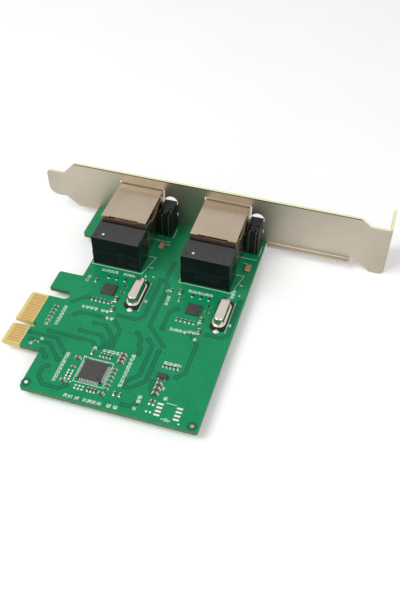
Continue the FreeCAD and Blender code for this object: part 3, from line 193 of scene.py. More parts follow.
def board_finish():
    """Mask on the two faces, bare laminate on the edges and the contact tabs."""
    material, tree, main = shader("solder_mask", specular=0.22)
    mask = grain(tree, (0.004, 0.275, 0.105), (0.003, 0.215, 0.082), 90.0, 0.26, 0.36)
    fibre = grain(tree, (0.080, 0.215, 0.095), (0.050, 0.150, 0.065), 900.0, 0.5, 0.7)
    bare = grain(tree, (0.72, 0.62, 0.22), (0.62, 0.53, 0.17), 700.0, 0.35, 0.5)
    place = add_node(tree, "ShaderNodeTexCoord")
    axes = add_node(tree, "ShaderNodeSeparateXYZ")
    tree.links.new(place.outputs["Object"], axes.inputs[0])
    depth = maths(tree, "MULTIPLY", axes.outputs["Z"], LAYER_WAVES)
    layers = maths(tree, "SINE", depth)
    layer_lines = maths(tree, "GREATER_THAN", layers, LAYER_CUT)
    edge_colour = mixed(tree, layer_lines, fibre.outputs["Color"], (0.15, 0.27, 0.09))
    shape = add_node(tree, "ShaderNodeNewGeometry")
    facing = add_node(tree, "ShaderNodeSeparateXYZ")
    tree.links.new(shape.outputs["Normal"], facing.inputs[0])
    upright = maths(tree, "ABSOLUTE", facing.outputs["Z"])
    is_face = maths(tree, "GREATER_THAN", upright, 0.95)
    colour = mixed(tree, is_face, edge_colour, mask.outputs["Color"])
    on_tab = maths(tree, "LESS_THAN", axes.outputs["X"], CONTACT_REACH)
    before_hook = maths(tree, "LESS_THAN", axes.outputs["Y"], HOOK_START)
    is_bare = maths(tree, "MULTIPLY", on_tab, before_hook)
    colour = mixed(tree, is_bare, colour, bare.outputs["Color"])
    is_edge = maths(tree, "SUBTRACT", 1.0, is_face)
    rougher = maths(tree, "MULTIPLY", is_edge, EDGE_ROUGHER)
    rough = maths(tree, "ADD", mask.outputs["Roughness"], rougher)
    tree.links.new(colour, main.inputs["Base Color"])
    tree.links.new(rough, main.inputs["Roughness"])
    bumped(tree, main, mask.outputs["Height"], 0.1, MASK_DEPTH)
    return material


dress(["circuit_board"], board_finish())


# ---- tracks and vias: copper etched to shape under the mask ----
# Each track lies between two clearance gaps in the copper pour.  Under the mask the gaps are dark
# and the track is nearly as light as the pour.  Vias are small plugged holes, capped with mask.

def settled(name, mesh):
    """A finished mesh as a piece of the card: faces outward, riding with it."""
    form = bmesh.new()
    form.from_mesh(mesh)
    bmesh.ops.recalc_face_normals(form, faces=form.faces)
    form.to_mesh(mesh)
    form.free()
    piece = bpy.data.objects.new(name, mesh)
    bpy.context.scene.collection.objects.link(piece)
    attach(piece, "root")
    return piece


def closed_mesh(name, corners, faces, material, slot):
    """A piece of the card from corners and faces."""
    mesh = bpy.data.meshes.new(name)
    mesh.from_pydata([tuple(corner) for corner in corners], [], faces)
    mesh.materials.append(material)
    return settled(name, mesh)


def strip(points, width, low, high):
    """Corners and faces of a flat strip of even width along points in X and Y."""
    corners, faces = [], []
    places = [Vector(point) for point in points]
    for index, place in enumerate(places):
        before = (place - places[index - 1]).normalized() if index else None
        after = (places[index + 1] - place).normalized() if index + 1 < len(places) else None
        way = ((before or after) + (after or before)).normalized()
        lean = max(way.dot(after or before), 0.4)
        side = Vector((-way.y, way.x)) * width / 2 / lean
        for level in (low, high):
            corners.append((*(place + side), level))
            corners.append((*(place - side), level))
    for index in range(len(places) - 1):
        near = 4 * index
        far = near + 4
        faces += [(near, near + 1, far + 1, far), (near + 2, far + 2, far + 3, near + 3),
                  (near, far, far + 2, near + 2), (near + 1, near + 3, far + 3, far + 1)]
    last = 4 * (len(places) - 1)
    faces += [(0, 2, 3, 1), (last, last + 1, last + 3, last + 2)]
    return corners, faces


def ring_faces(rings, sides):
    """Faces between rings of corners, with a flat one over each end ring."""
    faces = [tuple(range(sides))[::-1], tuple(range((rings - 1) * sides, rings * sides))]
    faces += [(ring * sides + step, ring * sides + (step + 1) % sides,
               (ring + 1) * sides + (step + 1) % sides, (ring + 1) * sides + step)
              for ring in range(rings - 1) for step in range(sides)]
    return faces


def turned(profile, sides, middle=(0.0, 0.0)):
    """Corners and faces of a round form, from radius and level steps, closed at both ends."""
    corners = [(middle[0] + radius * math.cos(2 * math.pi * step / sides),
                middle[1] + radius * math.sin(2 * math.pi * step / sides), level)
               for radius, level in profile for step in range(sides)]
    return corners, ring_faces(len(profile), sides)


def disc(middle, radius, low, high, sides=16):
    """Corners and faces of a short round slab."""
    return turned(((radius, low), (radius, high)), sides, middle)


def joined(shapes):
    """Several shapes' corners and faces as one set."""
    corners, faces = [], []
    for some_corners, some_faces in shapes:
        start = len(corners)
        corners += some_corners
        faces += [tuple(start + index for index in face) for face in some_faces]
    return corners, faces


track_gap = finish_of("track_gap", (0.003, 0.150, 0.068), (0.002, 0.120, 0.054), 90.0, 0.26, 0.36,
                      specular=0.22)
track_cover = finish_of("track_cover", (0.003, 0.210, 0.090), (0.002, 0.170, 0.072), 90.0,
                        0.26, 0.36, specular=0.22)
TRACK_GAP_WIDE = 1.35 * MM
TRACK_WIDE = 0.5 * MM
GAP_LAND = 0.72 * TRACK_GAP_WIDE
TRACK_LAND = 0.8 * TRACK_WIDE
FILM = 0.012 * MM
# Each track stands a little above the one before, and its lands a little below it, so that where
# they cross no two faces share a plane.
TRACK_STEP = 0.03 * FILM
LAND_DROP = 0.01 * FILM

# The ways of the tracks in millimetres, on a half-millimetre grid with square and half-square bends:
# from the tabs and chips to the bridge chip, round the crystals as guard bands, and to the supply.
TRACKS = (
    ((12.5, -1.0), (26.5, -1.0), (28.5, -3.0)),
    ((7.0, -3.0), (16.0, -3.0), (20.5, -7.5)),
    ((8.5, -5.5), (14.5, -5.5), (19.5, -10.5)),
    ((13.5, -8.5), (15.5, -10.5)),
    ((17.0, 7.5), (18.5, 9.0), (29.5, 9.0), (33.0, 5.5), (33.0, -1.5), (31.5, -3.0)),
    ((24.5, 6.0), (28.0, 6.0), (31.5, 2.5), (31.5, -1.5)),
    ((21.5, 2.0), (28.0, 2.0), (30.0, 0.0), (30.0, -2.5)),
    ((38.5, 6.0), (40.5, 4.0), (40.5, 1.5), (41.5, 0.5), (41.5, -1.5)),
    ((42.5, 4.5), (44.5, 2.5), (44.5, -9.0), (41.5, -12.0)),
    ((47.0, 1.0), (47.0, -10.5), (43.5, -14.0), (42.0, -14.0)),
    ((39.5, 38.0), (39.5, 29.0), (41.0, 27.5), (41.0, 10.0), (47.5, 3.5)),
    ((45.0, 10.0), (45.0, 17.0), (47.0, 19.0)),
    ((30.5, 11.0), (36.0, 11.0), (38.0, 13.0), (38.0, 29.5)),
    ((59.0, 11.5), (63.5, 11.5), (65.0, 13.0), (65.0, 27.5)),
    ((17.5, -13.5), (16.5, -14.5), (16.5, -17.5), (19.0, -20.0), (24.0, -20.0), (25.5, -18.5)),
    ((53.5, 10.5), (57.0, 7.0), (57.0, -4.5), (55.0, -6.5)),
    ((43.5, -20.0), (45.5, -20.0), (47.0, -18.5)),
    ((14.5, 12.5), (17.5, 15.5), (19.5, 15.5)),
    ((49.0, -10.0), (49.0, -12.5), (50.5, -14.0)),
    ((11.5, 46.0), (17.0, 40.5), (17.0, 35.0)),
)
UNDER_TRACKS = (
    ((7.0, -6.5), (12.5, -6.5), (17.0, -11.0), (26.0, -11.0), (28.5, -8.5)),
    ((7.0, -4.5), (13.5, -4.5), (16.5, -7.5), (25.5, -7.5)),
    ((7.0, 3.0), (14.0, 3.0), (17.0, 6.0), (30.0, 6.0), (34.5, 10.5), (34.5, 27.5)),
    ((7.0, 6.0), (13.5, 6.0), (16.5, 9.0), (27.5, 9.0), (30.5, 12.0), (30.5, 28.0)),
    ((7.0, 9.0), (13.0, 9.0), (19.5, 15.5), (19.5, 28.5)),
    ((36.5, -10.5), (43.5, -3.5), (43.5, 11.5), (47.0, 15.0), (47.0, 28.5)),
    ((38.5, -14.0), (52.5, -14.0), (58.5, -8.0), (58.5, 20.5), (61.0, 23.0), (61.0, 28.5)),
    ((20.0, -19.5), (46.0, -19.5), (49.5, -16.0), (62.5, -16.0)),
)


def make_tracks(name, ways, level, outward):
    """Both layers of the tracks on one face of the board, with a round land at each end."""
    gaps, covers = [], []
    inside = level - outward * FILM
    for count, way in enumerate(ways):
        points = [(x * MM, y * MM) for x, y in way]
        gap_face = level + outward * (FILM + TRACK_STEP * count)
        cover_face = gap_face + outward * FILM
        drop = outward * LAND_DROP
        gaps.append(strip(points, TRACK_GAP_WIDE, inside, gap_face))
        covers.append(strip(points, TRACK_WIDE, inside, cover_face))
        for end in (points[0], points[-1]):
            gaps.append(disc(end, GAP_LAND, inside, gap_face - drop))
            covers.append(disc(end, TRACK_LAND, inside, cover_face - drop))
    closed_mesh(name + "_gaps", *joined(gaps), track_gap, "board_green")
    closed_mesh(name, *joined(covers), track_cover, "board_green")


make_tracks("tracks", TRACKS, BOARD_TOP, 1.0)
make_tracks("under_tracks", UNDER_TRACKS, BOARD_UNDER, -1.0)


def scatter_tree(name, shape, material):
    """Geometry nodes that set a shape on points by their stored size and turn."""
    tree = bpy.data.node_groups.new(name, "GeometryNodeTree")
    tree.interface.new_socket("Geometry", in_out="INPUT", socket_type="NodeSocketGeometry")
    scale = tree.interface.new_socket("Scale", in_out="INPUT", socket_type="NodeSocketFloat")
    scale.default_value = 1.0
    tree.interface.new_socket("Geometry", in_out="OUTPUT", socket_type="NodeSocketGeometry")
    inside = tree.nodes.new("NodeGroupInput")
    outside = tree.nodes.new("NodeGroupOutput")
    source = add_node(tree, "GeometryNodeObjectInfo")
    source.inputs["Object"].default_value = shape
    size = add_node(tree, "GeometryNodeInputNamedAttribute", data_type="FLOAT_VECTOR")
    size.inputs["Name"].default_value = "size"
    turn = add_node(tree, "GeometryNodeInputNamedAttribute", data_type="FLOAT_VECTOR")
    turn.inputs["Name"].default_value = "turn"
    scaled = add_node(tree, "ShaderNodeVectorMath", operation="SCALE")
    to_turn = add_node(tree, "FunctionNodeEulerToRotation")
    points = add_node(tree, "GeometryNodeInstanceOnPoints")
    real = add_node(tree, "GeometryNodeRealizeInstances")
    coat = add_node(tree, "GeometryNodeSetMaterial")
    coat.inputs["Material"].default_value = material
    tree.links.new(inside.outputs["Geometry"], points.inputs["Points"])
    tree.links.new(source.outputs["Geometry"], points.inputs["Instance"])
    tree.links.new(size.outputs["Attribute"], scaled.inputs[0])
    tree.links.new(inside.outputs["Scale"], scaled.inputs["Scale"])
    tree.links.new(scaled.outputs[0], points.inputs["Scale"])
    tree.links.new(turn.outputs["Attribute"], to_turn.inputs[0])
    tree.links.new(to_turn.outputs[0], points.inputs["Rotation"])
    tree.links.new(points.outputs["Instances"], real.inputs["Geometry"])
    tree.links.new(real.outputs["Geometry"], coat.inputs["Geometry"])
    tree.links.new(coat.outputs["Geometry"], outside.inputs["Geometry"])
    return tree, scale.identifier


def set_on_points(name, places, corners, faces, material, scale=1.0):
    """One plain mesh of a shape repeated at places: each a point, a size and a turn about Z.

    The scale is metres for one unit of the shape, so a shape drawn in millimetres takes MM.
    """
    shape_mesh = bpy.data.meshes.new(name + "_shape")
    shape_mesh.from_pydata([tuple(corner) for corner in corners], [], faces)
    shape = bpy.data.objects.new(name + "_shape", shape_mesh)
    cloud = bpy.data.meshes.new(name + "_points")
    cloud.from_pydata([tuple(place[0]) for place in places], [], [])
    sizes = cloud.attributes.new("size", "FLOAT_VECTOR", "POINT")
    turns = cloud.attributes.new("turn", "FLOAT_VECTOR", "POINT")
    for index, (_, size, turn) in enumerate(places):
        sizes.data[index].vector = size
        turns.data[index].vector = (0.0, 0.0, turn)
    carrier = bpy.data.objects.new(name + "_points", cloud)
    bpy.context.scene.collection.objects.link(carrier)
    tree, scale_socket = scatter_tree(name + "_tree", shape, material)
    layer = carrier.modifiers.new("scatter", "NODES")
    layer.node_group = tree
    layer[scale_socket] = scale
    graph = bpy.context.evaluated_depsgraph_get()
    mesh = bpy.data.meshes.new_from_object(carrier.evaluated_get(graph))
    mesh.name = name
    bpy.data.objects.remove(carrier)
    bpy.data.objects.remove(shape)
    return settled(name, mesh)


VIA_RADIUS = 0.24 * MM
VIA_RISE = 1.2 * FILM
VIA_CLEAR = 1.2 * MM
VIA_COLUMNS = 17
VIA_ROWS = 20
VIA_ROW_PITCH = 3.9 * MM
VIA_COLUMN_PITCH = 0.78 * VIA_ROW_PITCH
VIA_SCATTER = 0.35 * MM
FIRST_VIA = (board_low.x + 15.5 * MM, board_low.y + 2.2 * MM)
LAST_VIA = (board_high.x - 1.5 * MM, board_high.y - 2.0 * MM)
# Nodes that reach over much of the board, so that their boxes say nothing about where it is free.
SPREAD_NODES = ("circuit_board", "bracket", "resistors", "resistor_ends",
                "small_capacitors", "small_capacitor_ends")


def clear_of_parts(x, y):
    """Whether a via at a place stays clear of what stands on the board."""
    for name in node:
        if name in SPREAD_NODES:
            continue
        low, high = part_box(name)
        beside_x = low.x - VIA_CLEAR < x < high.x + VIA_CLEAR
        beside_y = low.y - VIA_CLEAR < y < high.y + VIA_CLEAR
        if beside_x and beside_y:
            return False
    return True


def make_vias():
    """Stitching vias in a loose grid over the free parts of the board, every third left out."""
    places = []
    for column in range(VIA_COLUMNS):
        for row in range(VIA_ROWS):
            # Steps from -2 to 2 in an order that keeps neighbours from lining up.
            shift = ((column * 7 + row * 11) % 5 - 2) * VIA_SCATTER
            stagger = (column % 2) * 0.5 * VIA_ROW_PITCH
            x = FIRST_VIA[0] + column * VIA_COLUMN_PITCH + shift
            y = FIRST_VIA[1] + row * VIA_ROW_PITCH + stagger - shift
            inside = x < LAST_VIA[0] and y < LAST_VIA[1]
            if inside and (column + row) % 3 and clear_of_parts(x, y):
                places.append(((x, y, BOARD_TOP), (1.0, 1.0, 1.0), 0.0))
    corners, faces = disc((0.0, 0.0), VIA_RADIUS, -FILM, VIA_RISE, 10)
    set_on_points("vias", places, corners, faces, track_gap)
    under = [((x, y, BOARD_UNDER), size, turn) for (x, y, _), size, turn in places]
    corners, faces = disc((0.0, 0.0), VIA_RADIUS, -VIA_RISE, FILM, 10)
    set_on_points("under_vias", under, corners, faces, track_gap)


make_vias()


# ---- solder and tinned pads: tin alloy over bare copper ----
# Each component end stands in a small fillet of solder, melted from paste.  The tails of the jacks,
# transformers and lamps pass through the board and are soldered in cones by a wave from below.

tin = finish_of("solder", (0.72, 0.71, 0.68), (0.52, 0.52, 0.50), 1500.0, 0.18, 0.38,
                metallic=1.0, relief=0.25)
bare_tin = finish_of("bare_tin", (0.88, 0.86, 0.80), (0.72, 0.70, 0.65), 1500.0, 0.35, 0.55,
                     metallic=0.6, relief=0.2)
FILLET_REACH = 0.32 * MM
FILLET_SPREAD = 1.12
FILLET_CLIMB = 0.7
FILLET_TALLEST = 0.4 * MM
# From the end face outward and from the top down, as shares of the fillet's reach and height.
FILLET_PROFILE = ((0.0, 1.0), (0.14, 0.62), (0.38, 0.30), (1.0, 0.09), (1.0, 0.0), (0.0, 0.0))


def separate_solids(name):
    """Low and high corners of each separate solid of a CAD node."""
    form = bmesh.new()
    form.from_mesh(node[name].data)
    bmesh.ops.remove_doubles(form, verts=form.verts, dist=1e-6)
    unseen = set(form.verts)
    boxes = []
    while unseen:
        heap = [unseen.pop()]
        group = list(heap)
        while heap:
            for edge in heap.pop().link_edges:
                for corner in edge.verts:
                    if corner in unseen:
                        unseen.discard(corner)
                        heap.append(corner)
                        group.append(corner)
        boxes.append((Vector([min(v.co[axis] for v in group) for axis in range(3)]),
                      Vector([max(v.co[axis] for v in group) for axis in range(3)])))
    form.free()
    return sorted(boxes, key=lambda box: tuple(round(value, 6) for value in box[0]))


def make_end_fillets():
    """A solder fillet on the outer face of each component end."""
    places = []
    for ends, bodies in (("resistor_ends", "resistors"),
                         ("small_capacitor_ends", "small_capacitors")):
        middles = [(low + high) / 2 for low, high in separate_solids(bodies)]
        for low, high in separate_solids(ends):
            middle = (low + high) / 2
            owner = min(middles, key=lambda spot: (spot - middle).length)
            away = middle - owner
            size = high - low
            if abs(away.x) > abs(away.y):
                turn = 0.0 if away.x > 0 else math.pi
                deep, wide = size.x, size.y
            else:
                turn = math.pi / 2 if away.y > 0 else -math.pi / 2
                deep, wide = size.y, size.x
            face = Vector((middle.x, middle.y, BOARD_TOP))
            face += Vector((math.cos(turn), math.sin(turn), 0.0)) * (deep / 2)
            tall = min(size.z * FILLET_CLIMB, FILLET_TALLEST)
            places.append((face, (FILLET_REACH, wide * FILLET_SPREAD, tall), turn))
    corners = [(x, side, z) for side in (-0.5, 0.5) for x, z in FILLET_PROFILE]
    count = len(FILLET_PROFILE)
    faces = [tuple(range(count)), tuple(range(count, 2 * count))[::-1]]
    faces += [(step, step + count, (step + 1) % count + count, (step + 1) % count)
              for step in range(count)]
    set_on_points("solder_fillets", places, corners, faces, tin)


make_end_fillets()


# The cone round a tail: its radius and its level from the board's face down, in millimetres.
CONE_PROFILE = ((0.58, 0.01), (0.58, -0.06), (0.50, -0.24), (0.40, -0.56), (0.37, -1.00))
LEAD_HALF = 0.23 * MM


def make_tail_joints():
    """The wave-soldered cone round every tail under the board."""
    places = []
    for port in ("1", "2"):
        for row in ("jack_tails_", "transformer_tails_"):
            for low, high in separate_solids(row + port):
                middle = (low + high) / 2
                places.append(((middle.x, middle.y, BOARD_UNDER), (1.0, 1.0, 1.0), 0.0))
        for low, high in separate_solids("lamp_leads_" + port):
            middle = (low + high) / 2
            places.append(((middle.x, low.y + LEAD_HALF, BOARD_UNDER), (1.0, 1.0, 1.0), 0.0))
    corners, faces = turned(CONE_PROFILE, 12)
    joints = set_on_points("tail_joints", places, corners, faces, tin, MM)
    for face in joints.data.polygons:
        face.use_smooth = len(face.vertices) == 4


BEAD_RADIUS = 1.05
BEAD_RISE = 0.52
BEAD_BASE = 0.02
BEAD_INSET = 0.85 * MM


def make_crystal_joints():
    """A full bead of solder over each foot of the crystals."""
    places = []
    for name in ("crystal_feet_1", "crystal_feet_2"):
        feet = separate_solids(name)
        centre = sum(((low + high) / 2 for low, high in feet), Vector()) / len(feet)
        for low, high in feet:
            middle = (low + high) / 2
            outer = low.y + BEAD_INSET if middle.y < centre.y else high.y - BEAD_INSET
            places.append(((middle.x, outer, BOARD_TOP), (1.0, 0.95, 1.0), 0.0))
    dome = [(BEAD_RADIUS, -FILM / MM)]
    for step in range(6):
        lift = math.pi / 2 * step / 6
        dome.append((BEAD_RADIUS * math.cos(lift), BEAD_RISE * math.sin(lift) + BEAD_BASE))
    corners, faces = turned(dome, 20)
    beads = set_on_points("crystal_joints", places, corners, faces, tin, MM)
    for face in beads.data.polygons:
        face.use_smooth = True


make_tail_joints()
make_crystal_joints()


CHIP_PAD_PITCH = 1.27
PAD_TALL = 0.03 * MM


def make_pads():
    """Bare tinned pads, where the card has places for parts that it is built without."""
    places = []

    def pad(x, y, long, wide, turn=0.0):
        """One pad, with its middle and sizes in millimetres."""
        places.append(((x * MM, y * MM, BOARD_TOP), (long * MM, wide * MM, PAD_TALL), turn))

    # The empty eight-pad place: two columns of four.
    for row in range(4):
        for x in (53.75, 59.45):
            pad(x, -20.5 + CHIP_PAD_PITCH * row, 1.75, 0.62)
    # Empty pairs: on two sides of the bridge chip, by the eight-pad place and by the transformers.
    for step in range(4):
        for x in (24.2, 25.4):
            pad(x, -13.1 - step, 0.52, 0.6)
    for step in range(3):
        for y in (-17.5, -18.6):
            pad(28.3 + 1.1 * step, y, 0.6, 0.5)
    for x in (50.6, 51.8):
        pad(x, -17.6, 0.6, 0.65)
        pad(x, -20.2, 0.55, 0.6)
    for x in (35.1, 64.1):
        pad(x, 30.0, 0.6, 0.5, math.pi / 2)
    corners = [(x, y, z) for z in (-0.4, 1.0) for x, y in
               ((-0.5, -0.5), (0.5, -0.5), (0.5, 0.5), (-0.5, 0.5))]
    faces = [(3, 2, 1, 0), (4, 5, 6, 7), (0, 1, 5, 4), (1, 2, 6, 5), (2, 3, 7, 6), (3, 0, 4, 7)]
    set_on_points("bare_pads", places, corners, faces, bare_tin)


make_pads()


# ---- legend: white ink, screen printed over the mask ----
# Frames stand round the larger parts and plain numbers beside the small ones.  The ink is a thin
# matt film, and the mask's green shows through it a little.

ink = finish_of("legend_ink", (0.76, 0.88, 0.80), (0.60, 0.76, 0.66), 2500.0, 0.55, 0.75)
INK_LINE = 0.17 * MM
INK_TOP = BOARD_TOP + 3 * FILM


def frame_lines(name, margin, sides="nesw"):
    """Legend lines round a part's footprint."""
    low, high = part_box(name)
    west, east = low.x - margin, high.x + margin
    south, north = low.y - margin, high.y + margin
    runs = {"n": ((west, north), (east, north)), "s": ((west, south), (east, south)),
            "w": ((west, south), (west, north)), "e": ((east, south), (east, north))}
    return [strip(runs[side], INK_LINE, BOARD_TOP, INK_TOP) for side in sides]


def line(*points):
    """One legend line through places in millimetres."""
    return strip([(x * MM, y * MM) for x, y in points], INK_LINE, BOARD_TOP, INK_TOP)


CASE_MARGIN = 0.45 * MM
CHIP_MARGIN = 0.2 * MM
CRYSTAL_MARGIN = 0.35 * MM
PORT_PITCH = 30.3


def make_legend_lines():
    """Outlines printed round the transformers, crystals, bridge chip and empty places."""
    shapes = []
    for name in ("transformer_1", "transformer_2"):
        shapes += frame_lines(name, CASE_MARGIN, "sw")
    shapes += frame_lines("bridge_leads", CHIP_MARGIN)
    for name in ("crystal_pad_1", "crystal_pad_2"):
        shapes += frame_lines(name, CRYSTAL_MARGIN, "e")
    # Open outlines beside each port.
    for shift in (0.0, PORT_PITCH):
        shapes.append(line((30.9 + shift, 30.2), (33.0 + shift, 38.9), (29.8 + shift, 38.9)))
        shapes.append(line((29.2 + shift, 45.9), (29.2 + shift, 41.2), (29.8 + shift, 38.9)))
        shapes.append(line((29.7 + shift, 48.4), (29.7 + shift, 47.4), (35.2 + shift, 47.4)))
        shapes.append(line((35.4 + shift, 49.6), (35.4 + shift, 54.6)))
    # The empty eight-pad place, with its notched end, and the first-pin dots and corner mark.
    shapes.append(line((55.2, -15.9), (58.2, -15.9)))
    shapes.append(line((55.2, -21.4), (56.3, -21.4)))
    shapes.append(line((57.1, -21.4), (58.2, -21.4)))
    shapes.append(line((56.3, -21.4), (56.3, -21.0), (57.1, -21.0), (57.1, -21.4)))
    shapes.append(disc((60.6 * MM, -21.7 * MM), 0.28 * MM, BOARD_TOP, INK_TOP))
    shapes.append(disc((26.3 * MM, -16.9 * MM), 0.24 * MM, BOARD_TOP, INK_TOP))
    shapes.append(line((26.6, -7.6), (26.6, -6.9), (27.3, -6.9)))
    closed_mesh("legend_lines", *joined(shapes), ink, "board_green")


make_legend_lines()

# Runs of plain numbers beside the rows of components: the first number, how many, the place of
# the first and the step to the next in millimetres, and the quarter turns that they read at.
NUMBER_RUNS = (
    (31, 4, 18.5, 28.5, 1.5, 0.0, 1), (35, 3, 26.0, 28.5, 1.4, 0.0, 1),
    (11, 2, 15.0, 22.5, 0.0, 1.7, 0), (3, 1, 26.2, 15.6, 0.0, 0.0, 0),
    (41, 4, 18.5, 11.5, 1.4, 0.0, 1), (45, 2, 25.0, 11.5, 1.4, 0.0, 1),
    (47, 2, 27.5, 9.0, 1.4, 0.0, 1), (95, 1, 36.3, 19.0, 0.0, 0.0, 0),
    (24, 6, 48.5, 27.5, 1.4, 0.0, 1), (17, 1, 41.5, 25.5, 0.0, 0.0, 0),
    (18, 3, 42.8, 20.0, 0.0, 1.4, 0), (9, 1, 55.0, 15.0, 0.0, 0.0, 0),
    (37, 4, 48.0, 10.5, 1.4, 0.0, 1), (92, 2, 53.6, 11.0, 1.4, 0.0, 1),
    (94, 1, 56.0, 8.5, 0.0, 0.0, 1), (96, 1, 64.4, 17.0, 0.0, 0.0, 0),
    (21, 6, 13.2, 2.5, 0.0, 1.4, 0), (13, 2, 10.2, 1.5, 0.0, 1.5, 0),
    (15, 1, 9.0, -7.0, 0.0, 0.0, 0), (16, 1, 11.5, -4.5, 0.0, 0.0, 0),
    (51, 8, 21.5, -17.5, 0.0, 1.4, 0), (59, 1, 28.5, -3.2, 0.0, 0.0, 1),
    (61, 4, 31.5, -3.3, 1.4, 0.0, 1), (65, 4, 40.5, -7.0, 0.0, 1.4, 0),
    (69, 5, 40.5, -14.0, 0.0, 1.4, 0), (74, 2, 27.0, -21.7, 1.5, 0.0, 1),
    (76, 1, 30.5, -21.7, 0.0, 0.0, 1), (77, 3, 33.0, -21.7, 1.4, 0.0, 1),
    (81, 1, 37.2, -21.5, 0.0, 0.0, 1), (82, 2, 40.0, -21.5, 2.0, 0.0, 1),
    (84, 4, 50.5, -2.4, 1.4, 0.0, 1), (88, 2, 47.4, -17.7, 0.0, 1.4, 0),
    (90, 1, 54.6, -14.6, 0.0, 0.0, 1), (91, 1, 47.2, -20.4, 0.0, 0.0, 0),
    (8, 1, 52.8, -11.5, 0.0, 0.0, 0), (7, 1, 57.2, -21.7, 0.0, 0.0, 1),
    (97, 3, 62.0, 28.5, 0.0, 1.4, 0), (4, 1, 63.5, 34.5, 0.0, 0.0, 1),
    (5, 1, 33.0, 34.0, 0.0, 0.0, 1), (6, 1, 32.6, 29.6, 0.0, 0.0, 0),
    (1, 1, 62.3, 45.0, 0.0, 0.0, 1), (2, 1, 34.7, 46.0, 0.0, 0.0, 1),
)
NUMBER_TALL = 1.27 * MM
TALL_TO_TYPE_SIZE = 1.35
NUMBER_NARROW = 0.8
NUMBER_SPACING = 0.85
INK_SPREAD = 0.035 * MM


def written_number(number, place, quarters):
    """The flat mesh of one printed number, middle on its place."""
    curve = bpy.data.curves.new("number", "FONT")
    curve.body = str(number)
    curve.size = NUMBER_TALL * TALL_TO_TYPE_SIZE
    curve.offset = INK_SPREAD
    curve.space_character = NUMBER_SPACING
    curve.resolution_u = 2
    curve.align_x = "CENTER"
    curve.align_y = "CENTER"
    written = bpy.data.objects.new("number", curve)
    bpy.context.scene.collection.objects.link(written)
    graph = bpy.context.evaluated_depsgraph_get()
    flat = bpy.data.meshes.new_from_object(written.evaluated_get(graph))
    narrow = Matrix.Diagonal((NUMBER_NARROW, 1.0, 1.0, 1.0))
    turn = Matrix.Rotation(quarters * math.pi / 2, 4, "Z")
    flat.transform(Matrix.Translation((*place, INK_TOP)) @ turn @ narrow)
    bpy.data.objects.remove(written)
    return flat


def make_numbers():
    """The printed numbers, as one mesh of thin ink."""
    form = bmesh.new()
    for first, count, x, y, step_x, step_y, quarters in NUMBER_RUNS:
        for step in range(count):
            place = ((x + step_x * step) * MM, (y + step_y * step) * MM)
            form.from_mesh(written_number(first + step, place, quarters))
    bmesh.ops.remove_doubles(form, verts=form.verts, dist=1e-7)
    base = bmesh.ops.extrude_face_region(form, geom=list(form.faces))
    for part in base["geom"]:
        if isinstance(part, bmesh.types.BMVert):
            part.co.z = BOARD_TOP
    mesh = bpy.data.meshes.new("legend_numbers")
    form.to_mesh(mesh)
    form.free()
    mesh.materials.append(ink)
    settled("legend_numbers", mesh)


make_numbers()


# ---- gold plating: the edge contacts, the jack springs and one alignment mark ----
# Hard gold over nickel, a little dull from plating.  The card has two round alignment marks, each a
# bare dot in a clear ring: the first is tinned like the pads, and the second is gold.

gold = finish_of("contact_gold", (0.66, 0.40, 0.17), (0.55, 0.33, 0.14), 900.0, 0.28, 0.42,
                 metallic=1.0)
dress(["edge_contacts_top", "edge_contacts_under", "jack_contacts_1", "jack_contacts_2"], gold)

MARK_PLACES = ((14.2, -20.7), (64.4, -21.2))
MARK_RING = 1.5 * MM
MARK_DOT = 0.55 * MM


def make_marks():
    """Two round alignment marks, a dot in a wide clearance ring."""
    middles = [(x * MM, y * MM) for x, y in MARK_PLACES]
    rings = [disc(middle, MARK_RING, BOARD_TOP - FILM, BOARD_TOP + FILM, 24) for middle in middles]
    closed_mesh("mark_rings", *joined(rings), track_gap, "board_green")
    first = disc(middles[0], MARK_DOT, BOARD_TOP, BOARD_TOP + 3 * FILM, 20)
    second = disc(middles[1], MARK_DOT, BOARD_TOP, BOARD_TOP + 3 * FILM, 20)
    closed_mesh("mark_dot_1", *first, bare_tin, "tail_tin")
    closed_mesh("mark_dot_2", *second, gold, "contact_gold")


make_marks()


# ---- bracket: sheet steel, blanked and folded, then plated with bright nickel ----
# The rolled grain of the sheet and faint smears break the plating's shine.  The jack shells hold the
# bracket in its windows; its upper edge has a painted highlight above a painted line of shade.

RIM_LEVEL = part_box("bracket")[1].z - 0.42 * MM
SHOULDER_LEVEL = 12.0 * MM


